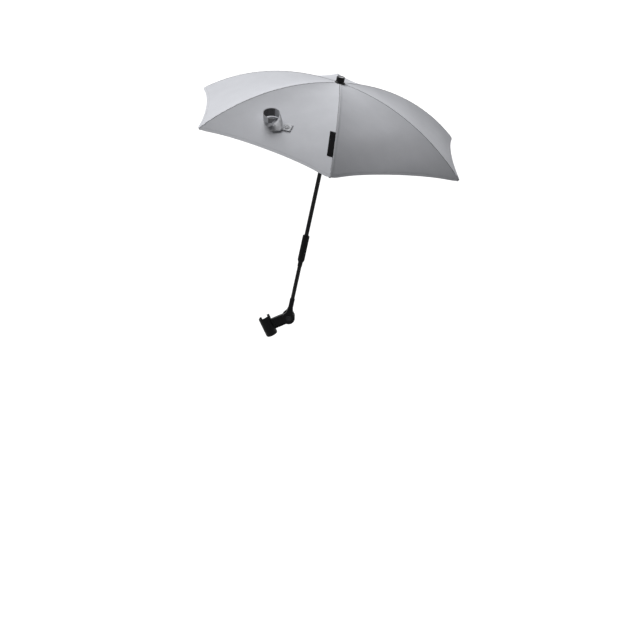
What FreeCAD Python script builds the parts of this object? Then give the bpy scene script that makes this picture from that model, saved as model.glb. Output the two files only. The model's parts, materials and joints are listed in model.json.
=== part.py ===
"""Pram parasol: a clip-on bracket, a jointed pole and a six-rib canopy that folds.

Millimetres. The origin is the middle of the clip's seat on the carriage tube, +Z runs up
the pole, and the pole tilts about Y.
"""

import FreeCAD, Part
import math
import os
import re

import Sketcher
from FreeCAD import Placement, Rotation, Vector

SIZES = {
    # clip and bracket arm
    "tube_grip": 22.0,
    "liner_wall": 1.2,
    "liner_lip": 1.4,
    "clip_wall": 2.8,
    "clip_length": 48.0,
    "clip_mouth": 15.0,
    "clip_flare": 3.0,
    "arm_reach": 57.0,
    "arm_depth": 27.0,
    "arm_width": 10.0,
    "arm_rim": 3.0,
    "arm_recess": 2.0,
    "arm_lean": 36.0,
    # tilt knuckle and its bolt
    "boss_diameter": 32.0,
    "cheek_width": 5.5,
    "knuckle_height": 51.0,
    "ferrule_diameter": 12.4,
    "ferrule_length": 25.0,
    "spoon_sweep": 20.0,
    "rod_socket": 28.0,
    "washer_diameter": 20.0,
    "washer_thickness": 0.7,
    "bolt_diameter": 6.0,
    "bolt_head": 15.0,
    "bolt_head_height": 2.6,
    "head_recess": 1.2,
    "cap_dish": 8.4,
    "cap_dish_depth": 1.0,
    "nut_flats": 10.0,
    "nut_height": 4.5,
    # pole, elbow and locking sleeve
    "rod_diameter": 10.0,
    "pole_diameter": 10.4,
    "pole_wall": 0.9,
    "elbow_diameter": 12.0,
    "elbow_rise": 7.0,
    "elbow_gap": 6.5,
    "tongue_width": 4.4,
    "tongue_span": 9.0,
    "tongue_plug": 16.0,
    "fork_plug": 30.0,
    "pole_socket": 20.0,
    "elbow_pin": 3.0,
    "stop_diameter": 14.8,
    "stop_height": 3.0,
    "sleeve_base": 154.0,
    "sleeve_length": 67.0,
    "sleeve_diameter": 17.4,
    "sleeve_bore": 13.0,
    "sleeve_mouth": 14.2,
    "sleeve_cap": 2.0,
    "flute_width": 2.2,
    "flute_depth": 0.7,
    "flute_margin": 6.0,
    "bush_length": 8.0,
    # crown, runner and finial
    "crown_height": 618.0,
    "hinge_radius": 12.0,
    "hub_diameter": 31.0,
    "hub_top": 4.4,
    "hub_skirt": 5.0,
    "hub_tail": 16.0,
    "hub_core": 17.2,
    "slot_width": 4.0,
    "slot_roof": 1.5,
    "pin_diameter": 2.4,
    "pin_length": 8.6,
    "runner_skirt": 5.0,
    "runner_tail": 26.0,
    "runner_nose": 9.0,
    "runner_grip": 16.4,
    "runner_lip": 18.0,
    "runner_lip_height": 3.0,
    "button_drop": 14.0,
    "button_head": 4.4,
    "button_head_height": 1.2,
    "button_stem": 3.2,
    "button_travel": 1.6,
    "finial_diameter": 20.5,
    "finial_height": 13.0,
    "finial_dome": 0.9,
    "finial_rim": 2.4,
    "finial_hollow": 1.6,
    "dish_diameter": 26.0,
    "dish_height": 1.8,
    "finial_neck": 18.0,
    "finial_stub": 14.0,
    # ribs and stretchers
    "rib_diameter": 3.5,
    "rib_reach": 362.0,
    "rib_drop": 124.0,
    "eye_diameter": 5.2,
    "eye_width": 3.6,
    "bracket_diameter": 6.8,
    "bracket_length": 16.0,
    "bracket_width": 7.0,
    "bracket_drop": 6.8,
    "bracket_lobe": 8.0,
    "stretcher_reach": 160.0,
    "stretcher_depth": 3.2,
    "stretcher_width": 2.4,
    "trunnion_length": 6.0,
    "rivet_head": 3.8,
    "rivet_head_height": 0.6,
    "tip_diameter": 5.6,
    "tip_length": 9.0,
    "tip_nose": 3.6,
    # canopy cloth
    "cloth_thickness": 0.8,
    "cloth_hole": 20.0,
    "cloth_overhang": 6.0,
    "cloth_sag": 6.0,
    "hem_dip": 9.0,
    "strap_width": 22.0,
    "strap_thickness": 1.2,
    "curl_diameter": 36.0,
    "curl_offset": 34.0,
    "curl_shift": 9.0,
    "curl_lift": 1.0,
    "strap_patch": 25.0,
    "strap_reach": 249.0,
    "strap_start": -4.7,
    "strap_turn": 12.6,
    "snap_diameter": 12.0,
    "snap_height": 2.2,
    "tab_length": 80.0,
    "tab_width": 16.0,
    "tab_thickness": 0.8,
    "tab_reach": 287.0,
    "tab_inset": 1.5,
    # edges and fits
    "edge_break": 0.8,
    "edge_run": 1.5,
    "overcut": 1.0,
    "running_fit": 0.05,
    "sliding_fit": 0.08,
    "seat_fit": 0.02,
    "rod_fit": 0.12,
    "cloth_fit": 0.3,
}
RIB_COUNT = 6
FIRST_RIB_ANGLE = -90.0
FLUTE_COUNT = 12

doc = FreeCAD.newDocument("PramParasol")
sheet = doc.addObject("Spreadsheet::Sheet", "Sizes")
for row, (alias, number) in enumerate(SIZES.items(), start=1):
    sheet.set(f"A{row}", alias)
    sheet.set(f"B{row}", str(number))
    sheet.setAlias(f"B{row}", alias)
doc.recompute()
size = {alias: float(sheet.get(alias)) for alias in SIZES}
pieces = []


# Helpers that tie features to the sheet


def linked(formula):
    """A formula in the sheet's own words, with each word pointing at its cell."""
    return re.sub(r"[a-z]\w*", lambda m: "Sizes." + m[0] if m[0] in SIZES else m[0], str(formula))


def bind(thing, **formulas):
    for name, formula in formulas.items():
        thing.setExpression(name, linked(formula))
    return thing


def keep(piece, label, placement=None):
    """Register a finished sub-part under its node's name, at its place in the object."""
    piece.Label = label
    if placement is not None:
        piece.Placement = placement
    pieces.append(piece)
    return piece


def new_body(name):
    return doc.addObject("PartDesign::Body", name)


def sketch_on(body, role, lift=None):
    """A sketch on one of the body's own planes, lifted along the plane's normal."""
    sketch = body.newObject("Sketcher::SketchObject", "Outline")
    plane = next(f for f in body.Origin.OriginFeatures if f.Role == role)
    sketch.AttachmentSupport = [(plane, "")]
    sketch.MapMode = "FlatFace"
    if lift is not None:
        sketch.setExpression("AttachmentOffset.Base.z", linked(lift))
    return sketch


def place_point(sketch, curve, point, x, y):
    for kind, formula in (("DistanceX", x), ("DistanceY", y)):
        index = sketch.addConstraint(Sketcher.Constraint(kind, -1, 1, curve, point, 1.0))
        sketch.setExpression(f"Constraints[{index}]", linked(formula))


def polygon(sketch, corners):
    """A closed straight-sided outline whose corners are pairs of formulas."""
    first = sketch.GeometryCount
    count = len(corners)
    turns = [2 * math.pi * i / count for i in range(count)]
    ring = [Vector(math.cos(turn), math.sin(turn), 0) for turn in turns]
    for i in range(count):
        sketch.addGeometry(Part.LineSegment(ring[i], ring[(i + 1) % count]))
    for i in range(count):
        sketch.addConstraint(Sketcher.Constraint("Coincident", first + i, 2, first + (i + 1) % count, 1))
    for i, (x, y) in enumerate(corners):
        place_point(sketch, first + i, 1, x, y)
    return sketch


def circle(sketch, x, y, diameter):
    curve = sketch.addGeometry(Part.Circle(Vector(0, 0, 0), Vector(0, 0, 1), 1.0))
    place_point(sketch, curve, 3, x, y)
    index = sketch.addConstraint(Sketcher.Constraint("Diameter", curve, 2.0))
    sketch.setExpression(f"Constraints[{index}]", linked(diameter))
    return sketch


def feature(body, kind, sketch, length=None, symmetric=False, through=False):
    made = body.newObject("PartDesign::" + kind, kind)
    made.Profile = sketch
    if through:
        made.Type = "ThroughAll"
    if symmetric:
        made.SideType = "Symmetric"
    if length is not None:
        bind(made, Length=length)
    return made


def pad(body, sketch, length):
    return feature(body, "Pad", sketch, length, symmetric=True)


def pocket_through(body, sketch):
    return feature(body, "Pocket", sketch, symmetric=True, through=True)


def turned(body, sketch, axis="V_Axis", angle="360", kind="Revolution"):
    made = body.newObject("PartDesign::" + kind, kind)
    made.Profile = sketch
    made.ReferenceAxis = (sketch, [axis])
    bind(made, Angle=angle)
    return made


def turned_piece(label, corners, placement, axis="V_Axis"):
    """A round piece turned from a half profile of (radius, height) corners."""
    body = new_body(label)
    turned(body, polygon(sketch_on(body, "XZ_Plane"), corners), axis)
    return keep(body, label, placement)


def polar(body, features, count):
    pattern = body.newObject("PartDesign::PolarPattern", "PolarPattern")
    pattern.Originals = features
    z_axis = next(f for f in body.Origin.OriginFeatures if f.Role == "Z_Axis")
    pattern.Axis = (z_axis, [""])
    pattern.Angle = 360
    pattern.Occurrences = count
    body.Tip = pattern
    return pattern


# Places worked out from the sheet

lean = math.radians(size["arm_lean"])
pivot = Vector(size["arm_reach"] * math.cos(lean), 0, size["arm_reach"] * math.sin(lean))
clip_place = Placement(Vector(0, 0, 0), Rotation(Vector(0, 1, 0), -size["arm_lean"]))
pole_place = Placement(pivot, Rotation())
elbow_height = size["sleeve_base"] + size["elbow_rise"]
crown_place = Placement(pivot + Vector(0, 0, size["crown_height"]), Rotation())

rib_span = size["rib_reach"] - size["hinge_radius"]
rib_bend = (rib_span**2 + size["rib_drop"] ** 2) / (2 * size["rib_drop"])
rib_sweep = 2 * math.atan2(size["rib_drop"], rib_span)
joint_bend = rib_bend - size["bracket_drop"]
bracket_sweep = math.acos(
    (rib_bend**2 + joint_bend**2 - size["stretcher_reach"] ** 2) / (2 * rib_bend * joint_bend)
)
joint_out = joint_bend * math.sin(bracket_sweep)
joint_down = rib_bend - joint_bend * math.cos(bracket_sweep)
runner_drop = 2 * joint_down
runner_place = Placement(crown_place.Base - Vector(0, 0, runner_drop), Rotation())

RIB_BEND = "((rib_reach - hinge_radius)^2 + rib_drop^2) / (2 * rib_drop)"
RIB_SWEEP = "2 * atan(rib_drop / (rib_reach - hinge_radius))"


def rib_angle(number):
    return FIRST_RIB_ANGLE + 360.0 / RIB_COUNT * number


def about_pole(angle, place):
    """A place in a rib's upright plane, turned about the pole to that rib."""
    return crown_place * Placement(Vector(0, 0, 0), Rotation(Vector(0, 0, 1), angle)) * place


def on_rib(sweep, drop=0.0):
    """The place on a rib's bend at an angle from the crown, X along the rib."""
    reach = rib_bend - drop
    spot = Vector(size["hinge_radius"] + reach * math.sin(sweep), 0, reach * math.cos(sweep) - rib_bend)
    return Placement(spot, Rotation(Vector(0, 1, 0), math.degrees(sweep)))


# Clip: an open collar that snaps on the tube, with the bracket arm moulded on it

CLIP_INNER = "tube_grip / 2 + liner_wall"
CLIP_OUTER = f"({CLIP_INNER} + clip_wall)"
LINER_OUTER = f"({CLIP_INNER} - seat_fit)"

clip = new_body("clip_body")
collar = circle(sketch_on(clip, "XY_Plane"), "0", "0", f"2 * {CLIP_OUTER}")
pad(clip, collar, "clip_length")
lip_edge = f"{CLIP_OUTER} * 0.72"
lips = polygon(
    sketch_on(clip, "XY_Plane"),
    [
        ("-clip_mouth / 2 - clip_flare - clip_wall", f"{lip_edge} + clip_flare"),
        ("-clip_mouth / 2 - clip_wall", lip_edge),
        ("clip_mouth / 2 + clip_wall", lip_edge),
        ("clip_mouth / 2 + clip_flare + clip_wall", f"{lip_edge} + clip_flare"),
    ],
)
pad(clip, lips, "clip_length")
arm = polygon(
    sketch_on(clip, "XZ_Plane"),
    [
        (f"{CLIP_OUTER} - clip_wall / 2", "arm_depth / 2"),
        (f"{CLIP_OUTER} - clip_wall / 2", "-arm_depth / 2"),
        ("arm_reach", "-arm_depth / 2"),
        ("arm_reach", "arm_depth / 2"),
    ],
)
pad(clip, arm, "arm_width")
pad(clip, circle(sketch_on(clip, "XZ_Plane"), "arm_reach", "0", "arm_depth"), "arm_width")
pocket_through(clip, circle(sketch_on(clip, "XY_Plane"), "0", "0", f"2 * ({CLIP_INNER})"))
mouth = polygon(
    sketch_on(clip, "XY_Plane"),
    [
        ("-clip_mouth / 2", "0"),
        ("clip_mouth / 2", "0"),
        ("clip_mouth / 2", lip_edge),
        ("clip_mouth / 2 + clip_flare", f"{lip_edge} + clip_flare + clip_wall"),
        ("-clip_mouth / 2 - clip_flare", f"{lip_edge} + clip_flare + clip_wall"),
        ("-clip_mouth / 2", lip_edge),
    ],
)
pocket_through(clip, mouth)
bolt_hole = circle(sketch_on(clip, "XZ_Plane"), "arm_reach", "0", "bolt_diameter + 2 * running_fit")
pocket_through(clip, bolt_hole)
for lift in ("arm_width / 2", "-arm_width / 2 + arm_recess"):
    panel = polygon(
        sketch_on(clip, "XZ_Plane", lift),
        [
            (f"{CLIP_OUTER} + arm_rim", "arm_depth / 2 - arm_rim"),
            (f"{CLIP_OUTER} + arm_rim", "arm_rim - arm_depth / 2"),
            ("arm_reach - washer_diameter / 2 - arm_rim", "arm_rim - arm_depth / 2"),
            ("arm_reach - washer_diameter / 2 - arm_rim", "arm_depth / 2 - arm_rim"),
        ],
    )
    feature(clip, "Pocket", panel, "arm_recess")
keep(clip, "clip_body", clip_place)

# Rubber liner: grips the tube, with a lip over each end of the collar

LINER_HALF = "clip_length / 2"
liner = new_body("clip_liner")
liner_profile = polygon(
    sketch_on(liner, "XZ_Plane"),
    [
        ("tube_grip / 2", f"-{LINER_HALF} - liner_lip"),
        (f"{CLIP_INNER} + clip_wall / 2", f"-{LINER_HALF} - liner_lip"),
        (f"{CLIP_INNER} + clip_wall / 2", f"-{LINER_HALF} - seat_fit"),
        (LINER_OUTER, f"-{LINER_HALF} - seat_fit"),
        (LINER_OUTER, f"{LINER_HALF} + seat_fit"),
        (f"{CLIP_INNER} + clip_wall / 2", f"{LINER_HALF} + seat_fit"),
        (f"{CLIP_INNER} + clip_wall / 2", f"{LINER_HALF} + liner_lip"),
        ("tube_grip / 2", f"{LINER_HALF} + liner_lip"),
    ],
)
turned(liner, liner_profile)
liner_mouth = polygon(
    sketch_on(liner, "XY_Plane"),
    [
        ("-clip_mouth / 2", "0"),
        ("clip_mouth / 2", "0"),
        ("clip_mouth / 2", "tube_grip"),
        ("-clip_mouth / 2", "tube_grip"),
    ],
)
pocket_through(liner, liner_mouth)
keep(liner, "clip_liner", clip_place)

# Tilt knuckle: a spoon-shaped fork over the arm's eye, drawn in to a ferrule for the rod

SLOT_HALF = "(arm_width / 2 + washer_thickness + 2 * running_fit)"
KNUCKLE_HALF = f"({SLOT_HALF} + cheek_width)"
SHOULDER = "(boss_diameter * 0.46)"
SPOON_HALF = "(boss_diameter * 0.36)"
SPOON_BASE = "(boss_diameter * 0.19)"
NECK_HALF = "(ferrule_diameter / 2 + edge_break / 2)"
NECK_HEIGHT = "(knuckle_height - ferrule_length)"
SWEEP_ACROSS = f"(spoon_sweep + {NECK_HALF})"
SWEEP_HEIGHT = f"sqrt((spoon_sweep + boss_diameter / 2 - 2 * running_fit)^2 - {SWEEP_ACROSS}^2)"

knuckle = new_body("knuckle")
pad(knuckle, circle(sketch_on(knuckle, "XZ_Plane"), "0", "0", "boss_diameter"), f"2 * {KNUCKLE_HALF}")
spoon = polygon(
    sketch_on(knuckle, "XZ_Plane"),
    [
        (f"-{SPOON_HALF}", SPOON_BASE),
        (SPOON_HALF, SPOON_BASE),
        (SPOON_HALF, SWEEP_HEIGHT),
        (f"-{SPOON_HALF}", SWEEP_HEIGHT),
    ],
)
pad(knuckle, spoon, f"2 * {KNUCKLE_HALF}")
for sign in ("", "-"):
    pocket_through(
        knuckle,
        circle(sketch_on(knuckle, "XZ_Plane"), f"{sign}{SWEEP_ACROSS}", SWEEP_HEIGHT, "2 * spoon_sweep"),
    )
    shoulder = polygon(
        sketch_on(knuckle, "YZ_Plane"),
        [
            (f"{sign}{NECK_HALF}", f"{NECK_HEIGHT} + overcut"),
            (f"{sign}{NECK_HALF}", NECK_HEIGHT),
            (f"{sign}{KNUCKLE_HALF}", SHOULDER),
            (f"{sign}({KNUCKLE_HALF} + overcut)", SHOULDER),
            (f"{sign}({KNUCKLE_HALF} + overcut)", f"{NECK_HEIGHT} + overcut"),
        ],
    )
    pocket_through(knuckle, shoulder)
ferrule = polygon(
    sketch_on(knuckle, "XZ_Plane"),
    [
        ("0", "boss_diameter * 0.7"),
        ("ferrule_diameter / 2", "boss_diameter * 0.7"),
        ("ferrule_diameter / 2", "knuckle_height - edge_run"),
        ("ferrule_diameter / 2 - edge_break", "knuckle_height"),
        ("0", "knuckle_height"),
    ],
)
turned(knuckle, ferrule)
fork_gap = polygon(
    sketch_on(knuckle, "YZ_Plane"),
    [
        (f"-{SLOT_HALF}", "-boss_diameter"),
        (SLOT_HALF, "-boss_diameter"),
        (SLOT_HALF, "arm_depth / 2 + edge_run"),
        (f"-{SLOT_HALF}", "arm_depth / 2 + edge_run"),
    ],
)
pocket_through(knuckle, fork_gap)
pocket_through(knuckle, circle(sketch_on(knuckle, "XZ_Plane"), "0", "0", "bolt_diameter + 2 * seat_fit"))
head_seat = circle(
    sketch_on(knuckle, "XZ_Plane", KNUCKLE_HALF), "0", "0", "bolt_head + 4 * running_fit"
)
feature(knuckle, "Pocket", head_seat, "head_recess")
rod_bore = polygon(
    sketch_on(knuckle, "XZ_Plane"),
    [
        ("0", "knuckle_height - rod_socket"),
        ("rod_diameter / 2 + seat_fit", "knuckle_height - rod_socket"),
        ("rod_diameter / 2 + seat_fit", "knuckle_height + overcut"),
        ("0", "knuckle_height + overcut"),
    ],
)
turned(knuckle, rod_bore, kind="Groove")
keep(knuckle, "knuckle", pole_place)

# Bolt, nut and friction washers of the tilt knuckle, all along Y through the pivot

across = pole_place * Placement(Vector(0, 0, 0), Rotation(Vector(1, 0, 0), 90))
HEAD_BASE = f"({KNUCKLE_HALF} - head_recess + seat_fit)"
turned_piece(
    "pivot_bolt",
    [
        ("0", f"-({KNUCKLE_HALF} + nut_height + edge_run)"),
        ("bolt_diameter / 2 - edge_break", f"-({KNUCKLE_HALF} + nut_height + edge_run)"),
        ("bolt_diameter / 2", f"-({KNUCKLE_HALF} + nut_height)"),
        ("bolt_diameter / 2", HEAD_BASE),
        ("bolt_head / 2", HEAD_BASE),
        ("bolt_head / 2", f"{HEAD_BASE} + bolt_head_height * 0.6"),
        ("bolt_head * 0.42", f"{HEAD_BASE} + bolt_head_height"),
        ("cap_dish / 2 + edge_break", f"{HEAD_BASE} + bolt_head_height"),
        ("cap_dish / 2", f"{HEAD_BASE} + bolt_head_height - cap_dish_depth"),
        ("0", f"{HEAD_BASE} + bolt_head_height - cap_dish_depth"),
    ],
    across,
)
nut = bind(
    doc.addObject("Part::Prism", "NutHexagon"), Circumradius="nut_flats / sqrt(3)", Height="nut_height"
)
nut.Polygon = 6
nut_hole = bind(
    doc.addObject("Part::Cylinder", "NutHole"), Radius="bolt_diameter / 2 + seat_fit", Height="nut_height"
)
pivot_nut = doc.addObject("Part::Cut", "pivot_nut")
pivot_nut.Base = nut
pivot_nut.Tool = nut_hole
slot_half = size["arm_width"] / 2 + size["washer_thickness"] + 2 * size["running_fit"]
knuckle_half = slot_half + size["cheek_width"]
nut_base = -knuckle_half - size["nut_height"] - size["seat_fit"]
keep(pivot_nut, "pivot_nut", across * Placement(Vector(0, 0, nut_base), Rotation()))

washer_rings = []
for sign in (-1, 1):
    disc = bind(
        doc.addObject("Part::Cylinder", "WasherDisc"),
        Radius="washer_diameter / 2",
        Height="washer_thickness",
    )
    hole = bind(
        doc.addObject("Part::Cylinder", "WasherHole"),
        Radius="bolt_diameter / 2 + running_fit",
        Height="washer_thickness",
    )
    ring = doc.addObject("Part::Cut", "WasherRing")
    ring.Base = disc
    ring.Tool = hole
    inner_face = size["arm_width"] / 2 + size["running_fit"]
    start = inner_face if sign > 0 else -inner_face - size["washer_thickness"]
    ring.Placement = Placement(Vector(0, 0, start), Rotation())
    washer_rings.append(ring)
washers = doc.addObject("Part::Compound", "friction_washers")
washers.Links = washer_rings
keep(washers, "friction_washers", across)

# Lower rod: a solid rod from the ferrule up to the elbow

ELBOW = "(sleeve_base + elbow_rise)"
ROD_TOP = f"({ELBOW} - elbow_gap - 2 * edge_run)"
turned_piece(
    "lower_rod",
    [
        ("0", "knuckle_height - rod_socket + seat_fit"),
        ("rod_diameter / 2", "knuckle_height - rod_socket + seat_fit"),
        ("rod_diameter / 2", ROD_TOP),
        ("0", ROD_TOP),
    ],
    pole_place,
)

# Elbow tongue: plugs on the rod, carries the stop ring that the sleeve rests on

STOP_TOP = "(sleeve_base - cloth_fit)"
tongue = new_body("elbow_tongue")
tongue_plug = polygon(
    sketch_on(tongue, "XZ_Plane"),
    [
        ("0", "sleeve_base - tongue_plug"),
        ("elbow_diameter / 2 - edge_break", "sleeve_base - tongue_plug"),
        ("elbow_diameter / 2", "sleeve_base - tongue_plug + edge_run"),
        ("elbow_diameter / 2", f"{STOP_TOP} - stop_height"),
        ("stop_diameter / 2", f"{STOP_TOP} - stop_height + edge_break"),
        ("stop_diameter / 2", STOP_TOP),
        ("elbow_diameter / 2", STOP_TOP),
        ("elbow_diameter / 2", f"{ELBOW} - elbow_gap"),
        ("0", f"{ELBOW} - elbow_gap"),
    ],
)
turned(tongue, tongue_plug)
blade = polygon(
    sketch_on(tongue, "XZ_Plane"),
    [
        ("-tongue_span / 2", f"{ELBOW} - elbow_gap - overcut"),
        ("tongue_span / 2", f"{ELBOW} - elbow_gap - overcut"),
        ("tongue_span / 2", ELBOW),
        ("-tongue_span / 2", ELBOW),
    ],
)
pad(tongue, blade, "tongue_width")
pad(tongue, circle(sketch_on(tongue, "XZ_Plane"), "0", ELBOW, "tongue_span"), "tongue_width")
pocket_through(tongue, circle(sketch_on(tongue, "XZ_Plane"), "0", ELBOW, "elbow_pin + 2 * running_fit"))
rod_seat = polygon(
    sketch_on(tongue, "XZ_Plane"),
    [
        ("0", "sleeve_base - tongue_plug - overcut"),
        ("rod_diameter / 2 + seat_fit", "sleeve_base - tongue_plug - overcut"),
        ("rod_diameter / 2 + seat_fit", f"{ROD_TOP} + seat_fit"),
        ("0", f"{ROD_TOP} + seat_fit"),
    ],
)
turned(tongue, rod_seat, kind="Groove")
keep(tongue, "elbow_tongue", pole_place)

# Elbow fork: holds the pin and takes the upper pole in its socket

POLE_FOOT = f"({ELBOW} + fork_plug - pole_socket)"
FORK_HALF = "(tongue_width / 2 + cloth_fit)"
fork = new_body("elbow_fork")
fork_plug = polygon(
    sketch_on(fork, "XZ_Plane"),
    [
        ("0", f"{ELBOW} - tongue_span / 2"),
        ("elbow_diameter / 2", f"{ELBOW} - tongue_span / 2"),
        ("elbow_diameter / 2", f"{ELBOW} + fork_plug - edge_run"),
        ("elbow_diameter / 2 - edge_break", f"{ELBOW} + fork_plug"),
        ("0", f"{ELBOW} + fork_plug"),
    ],
)
turned(fork, fork_plug)
fork_slot = polygon(
    sketch_on(fork, "YZ_Plane"),
    [
        (f"-{FORK_HALF}", f"{ELBOW} - elbow_diameter"),
        (FORK_HALF, f"{ELBOW} - elbow_diameter"),
        (FORK_HALF, f"{ELBOW} + elbow_gap"),
        (f"-{FORK_HALF}", f"{ELBOW} + elbow_gap"),
    ],
)
pocket_through(fork, fork_slot)
for sign in ("", "-"):
    corner = polygon(
        sketch_on(fork, "XZ_Plane"),
        [
            (f"{sign}(tongue_span * 0.22)", f"{ELBOW} - tongue_span / 2 - overcut"),
            (f"{sign}(elbow_diameter / 2 + overcut)", f"{ELBOW} - tongue_span / 2 - overcut"),
            (f"{sign}(elbow_diameter / 2 + overcut)", f"{ELBOW} - tongue_span * 0.16"),
        ],
    )
    pocket_through(fork, corner)
pocket_through(fork, circle(sketch_on(fork, "XZ_Plane"), "0", ELBOW, "elbow_pin + 2 * seat_fit"))
pole_seat = polygon(
    sketch_on(fork, "XZ_Plane"),
    [
        ("0", POLE_FOOT),
        ("pole_diameter / 2 + seat_fit", POLE_FOOT),
        ("pole_diameter / 2 + seat_fit", f"{ELBOW} + fork_plug + overcut"),
        ("0", f"{ELBOW} + fork_plug + overcut"),
    ],
)
turned(fork, pole_seat, kind="Groove")
keep(fork, "elbow_fork", pole_place)

elbow_pin = bind(
    doc.addObject("Part::Cylinder", "elbow_pin"),
    Radius="elbow_pin / 2",
    Height="elbow_diameter - 6 * cloth_fit",
)
half_pin = size["elbow_diameter"] / 2 - 3 * size["cloth_fit"]
keep(elbow_pin, "elbow_pin", across * Placement(Vector(0, elbow_height, -half_pin), Rotation()))

# Locking sleeve: slides over the elbow, belled at its foot, fluted for grip, with a bush at its top

SLEEVE_TOP = "(sleeve_base + sleeve_length)"
sleeve = new_body("sleeve")
sleeve_profile = polygon(
    sketch_on(sleeve, "XZ_Plane"),
    [
        ("sleeve_mouth / 2", "sleeve_base"),
        ("sleeve_diameter / 2 - edge_break", "sleeve_base"),
        ("sleeve_diameter / 2", "sleeve_base + edge_run"),
        ("sleeve_diameter / 2", f"{SLEEVE_TOP} - edge_run"),
        ("sleeve_diameter / 2 - edge_break", SLEEVE_TOP),
        ("pole_diameter / 2 + cloth_fit", SLEEVE_TOP),
        ("pole_diameter / 2 + cloth_fit", f"{SLEEVE_TOP} - sleeve_cap"),
        ("sleeve_bore / 2", f"{SLEEVE_TOP} - sleeve_cap"),
        ("sleeve_bore / 2", "sleeve_base + elbow_rise + edge_break"),
    ],
)
turned(sleeve, sleeve_profile)
flute_outline = polygon(
    sketch_on(sleeve, "XY_Plane", f"{SLEEVE_TOP} - flute_margin"),
    [
        ("sleeve_diameter / 2 - flute_depth", "-flute_width / 2 + flute_depth"),
        ("sleeve_diameter / 2 + overcut", "-flute_width / 2 - overcut"),
        ("sleeve_diameter / 2 + overcut", "flute_width / 2 + overcut"),
        ("sleeve_diameter / 2 - flute_depth", "flute_width / 2 - flute_depth"),
    ],
)
flute = feature(sleeve, "Pocket", flute_outline, "sleeve_length - 2 * flute_margin")
polar(sleeve, [flute], FLUTE_COUNT)
keep(sleeve, "sleeve", pole_place)
BUSH_TOP = f"({SLEEVE_TOP} - sleeve_cap - seat_fit)"
turned_piece(
    "sleeve_bush",
    [
        ("pole_diameter / 2 + sliding_fit", f"{BUSH_TOP} - bush_length"),
        ("sleeve_bore / 2 - seat_fit", f"{BUSH_TOP} - bush_length"),
        ("sleeve_bore / 2 - seat_fit", BUSH_TOP),
        ("pole_diameter / 2 + sliding_fit", BUSH_TOP),
    ],
    pole_place,
)

# Upper pole: thin tube from the elbow to the crown

turned_piece(
    "upper_pole",
    [
        ("pole_diameter / 2 - pole_wall", f"{POLE_FOOT} + seat_fit"),
        ("pole_diameter / 2", f"{POLE_FOOT} + seat_fit"),
        ("pole_diameter / 2", "crown_height + hub_top"),
        ("pole_diameter / 2 - pole_wall", "crown_height + hub_top"),
    ],
    pole_place,
)

# Crown: slotted hub fixed at the pole's top, with a pin across each slot for a rib

crown = new_body("crown")
crown_profile = polygon(
    sketch_on(crown, "XZ_Plane"),
    [
        ("pole_diameter / 2 + seat_fit", "-hub_tail"),
        ("hub_core / 2 - edge_break", "-hub_tail"),
        ("hub_core / 2", "-hub_skirt - edge_run"),
        ("hub_diameter / 2", "-hub_skirt"),
        ("hub_diameter / 2", "hub_top - edge_run"),
        ("hub_diameter / 2 - edge_run", "hub_top"),
        ("pole_diameter / 2 + seat_fit", "hub_top"),
    ],
)
turned(crown, crown_profile)
SLOT = [
    ("hub_core / 2", "-slot_width / 2"),
    ("hub_diameter", "-slot_width / 2"),
    ("hub_diameter", "slot_width / 2"),
    ("hub_core / 2", "slot_width / 2"),
]
rib_slot = feature(
    crown,
    "Pocket",
    polygon(sketch_on(crown, "XY_Plane", "hub_top - slot_roof"), SLOT),
    through=True,
)
pin_hole = feature(
    crown,
    "Pocket",
    circle(sketch_on(crown, "XZ_Plane"), "hinge_radius", "0", "pin_diameter + 2 * seat_fit"),
    "pin_length + 2 * seat_fit",
    symmetric=True,
)
polar(crown, [rib_slot, pin_hole], RIB_COUNT)
keep(crown, "crown", crown_place * Placement(Vector(0, 0, 0), Rotation(Vector(0, 0, 1), FIRST_RIB_ANGLE)))

crown_pin_list = []
for number in range(RIB_COUNT):
    pin = bind(doc.addObject("Part::Cylinder", "CrownPin"), Radius="pin_diameter / 2", Height="pin_length")
    lie = Placement(Vector(size["hinge_radius"], size["pin_length"] / 2, 0), Rotation(Vector(1, 0, 0), 90))
    pin.Placement = Placement(Vector(0, 0, 0), Rotation(Vector(0, 0, 1), rib_angle(number))) * lie
    crown_pin_list.append(pin)
crown_pins = doc.addObject("Part::Compound", "crown_pins")
crown_pins.Links = crown_pin_list
keep(crown_pins, "crown_pins", crown_place)

# Finial: stepped cap whose dish clamps the cloth on the crown

CLOTH_BASE = "(hub_top + cloth_fit)"
DISH_BASE = f"({CLOTH_BASE} + cloth_thickness + cloth_fit)"
CAP_TOP = f"({DISH_BASE} + dish_height + finial_height)"
turned_piece(
    "finial",
    [
        ("0", "hub_top - finial_stub"),
        ("pole_diameter / 2 - pole_wall - seat_fit", "hub_top - finial_stub"),
        ("pole_diameter / 2 - pole_wall - seat_fit", "hub_top + seat_fit"),
        ("finial_neck / 2", "hub_top + seat_fit"),
        ("finial_neck / 2", DISH_BASE),
        ("dish_diameter / 2", DISH_BASE),
        ("dish_diameter / 2", f"{DISH_BASE} + dish_height * 0.6"),
        ("finial_diameter / 2 + edge_break", f"{DISH_BASE} + dish_height"),
        ("finial_diameter / 2", f"{DISH_BASE} + dish_height + edge_break"),
        ("finial_diameter / 2", f"{CAP_TOP} - finial_dome"),
        ("finial_diameter / 2 - finial_dome", CAP_TOP),
        ("finial_diameter / 2 - finial_rim", CAP_TOP),
        ("finial_diameter / 2 - finial_rim - edge_break", f"{CAP_TOP} - finial_hollow"),
        ("0", f"{CAP_TOP} - finial_hollow"),
    ],
    crown_place,
)

# Runner: slides on the pole, with slots for the stretchers and seats for their trunnions

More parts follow.
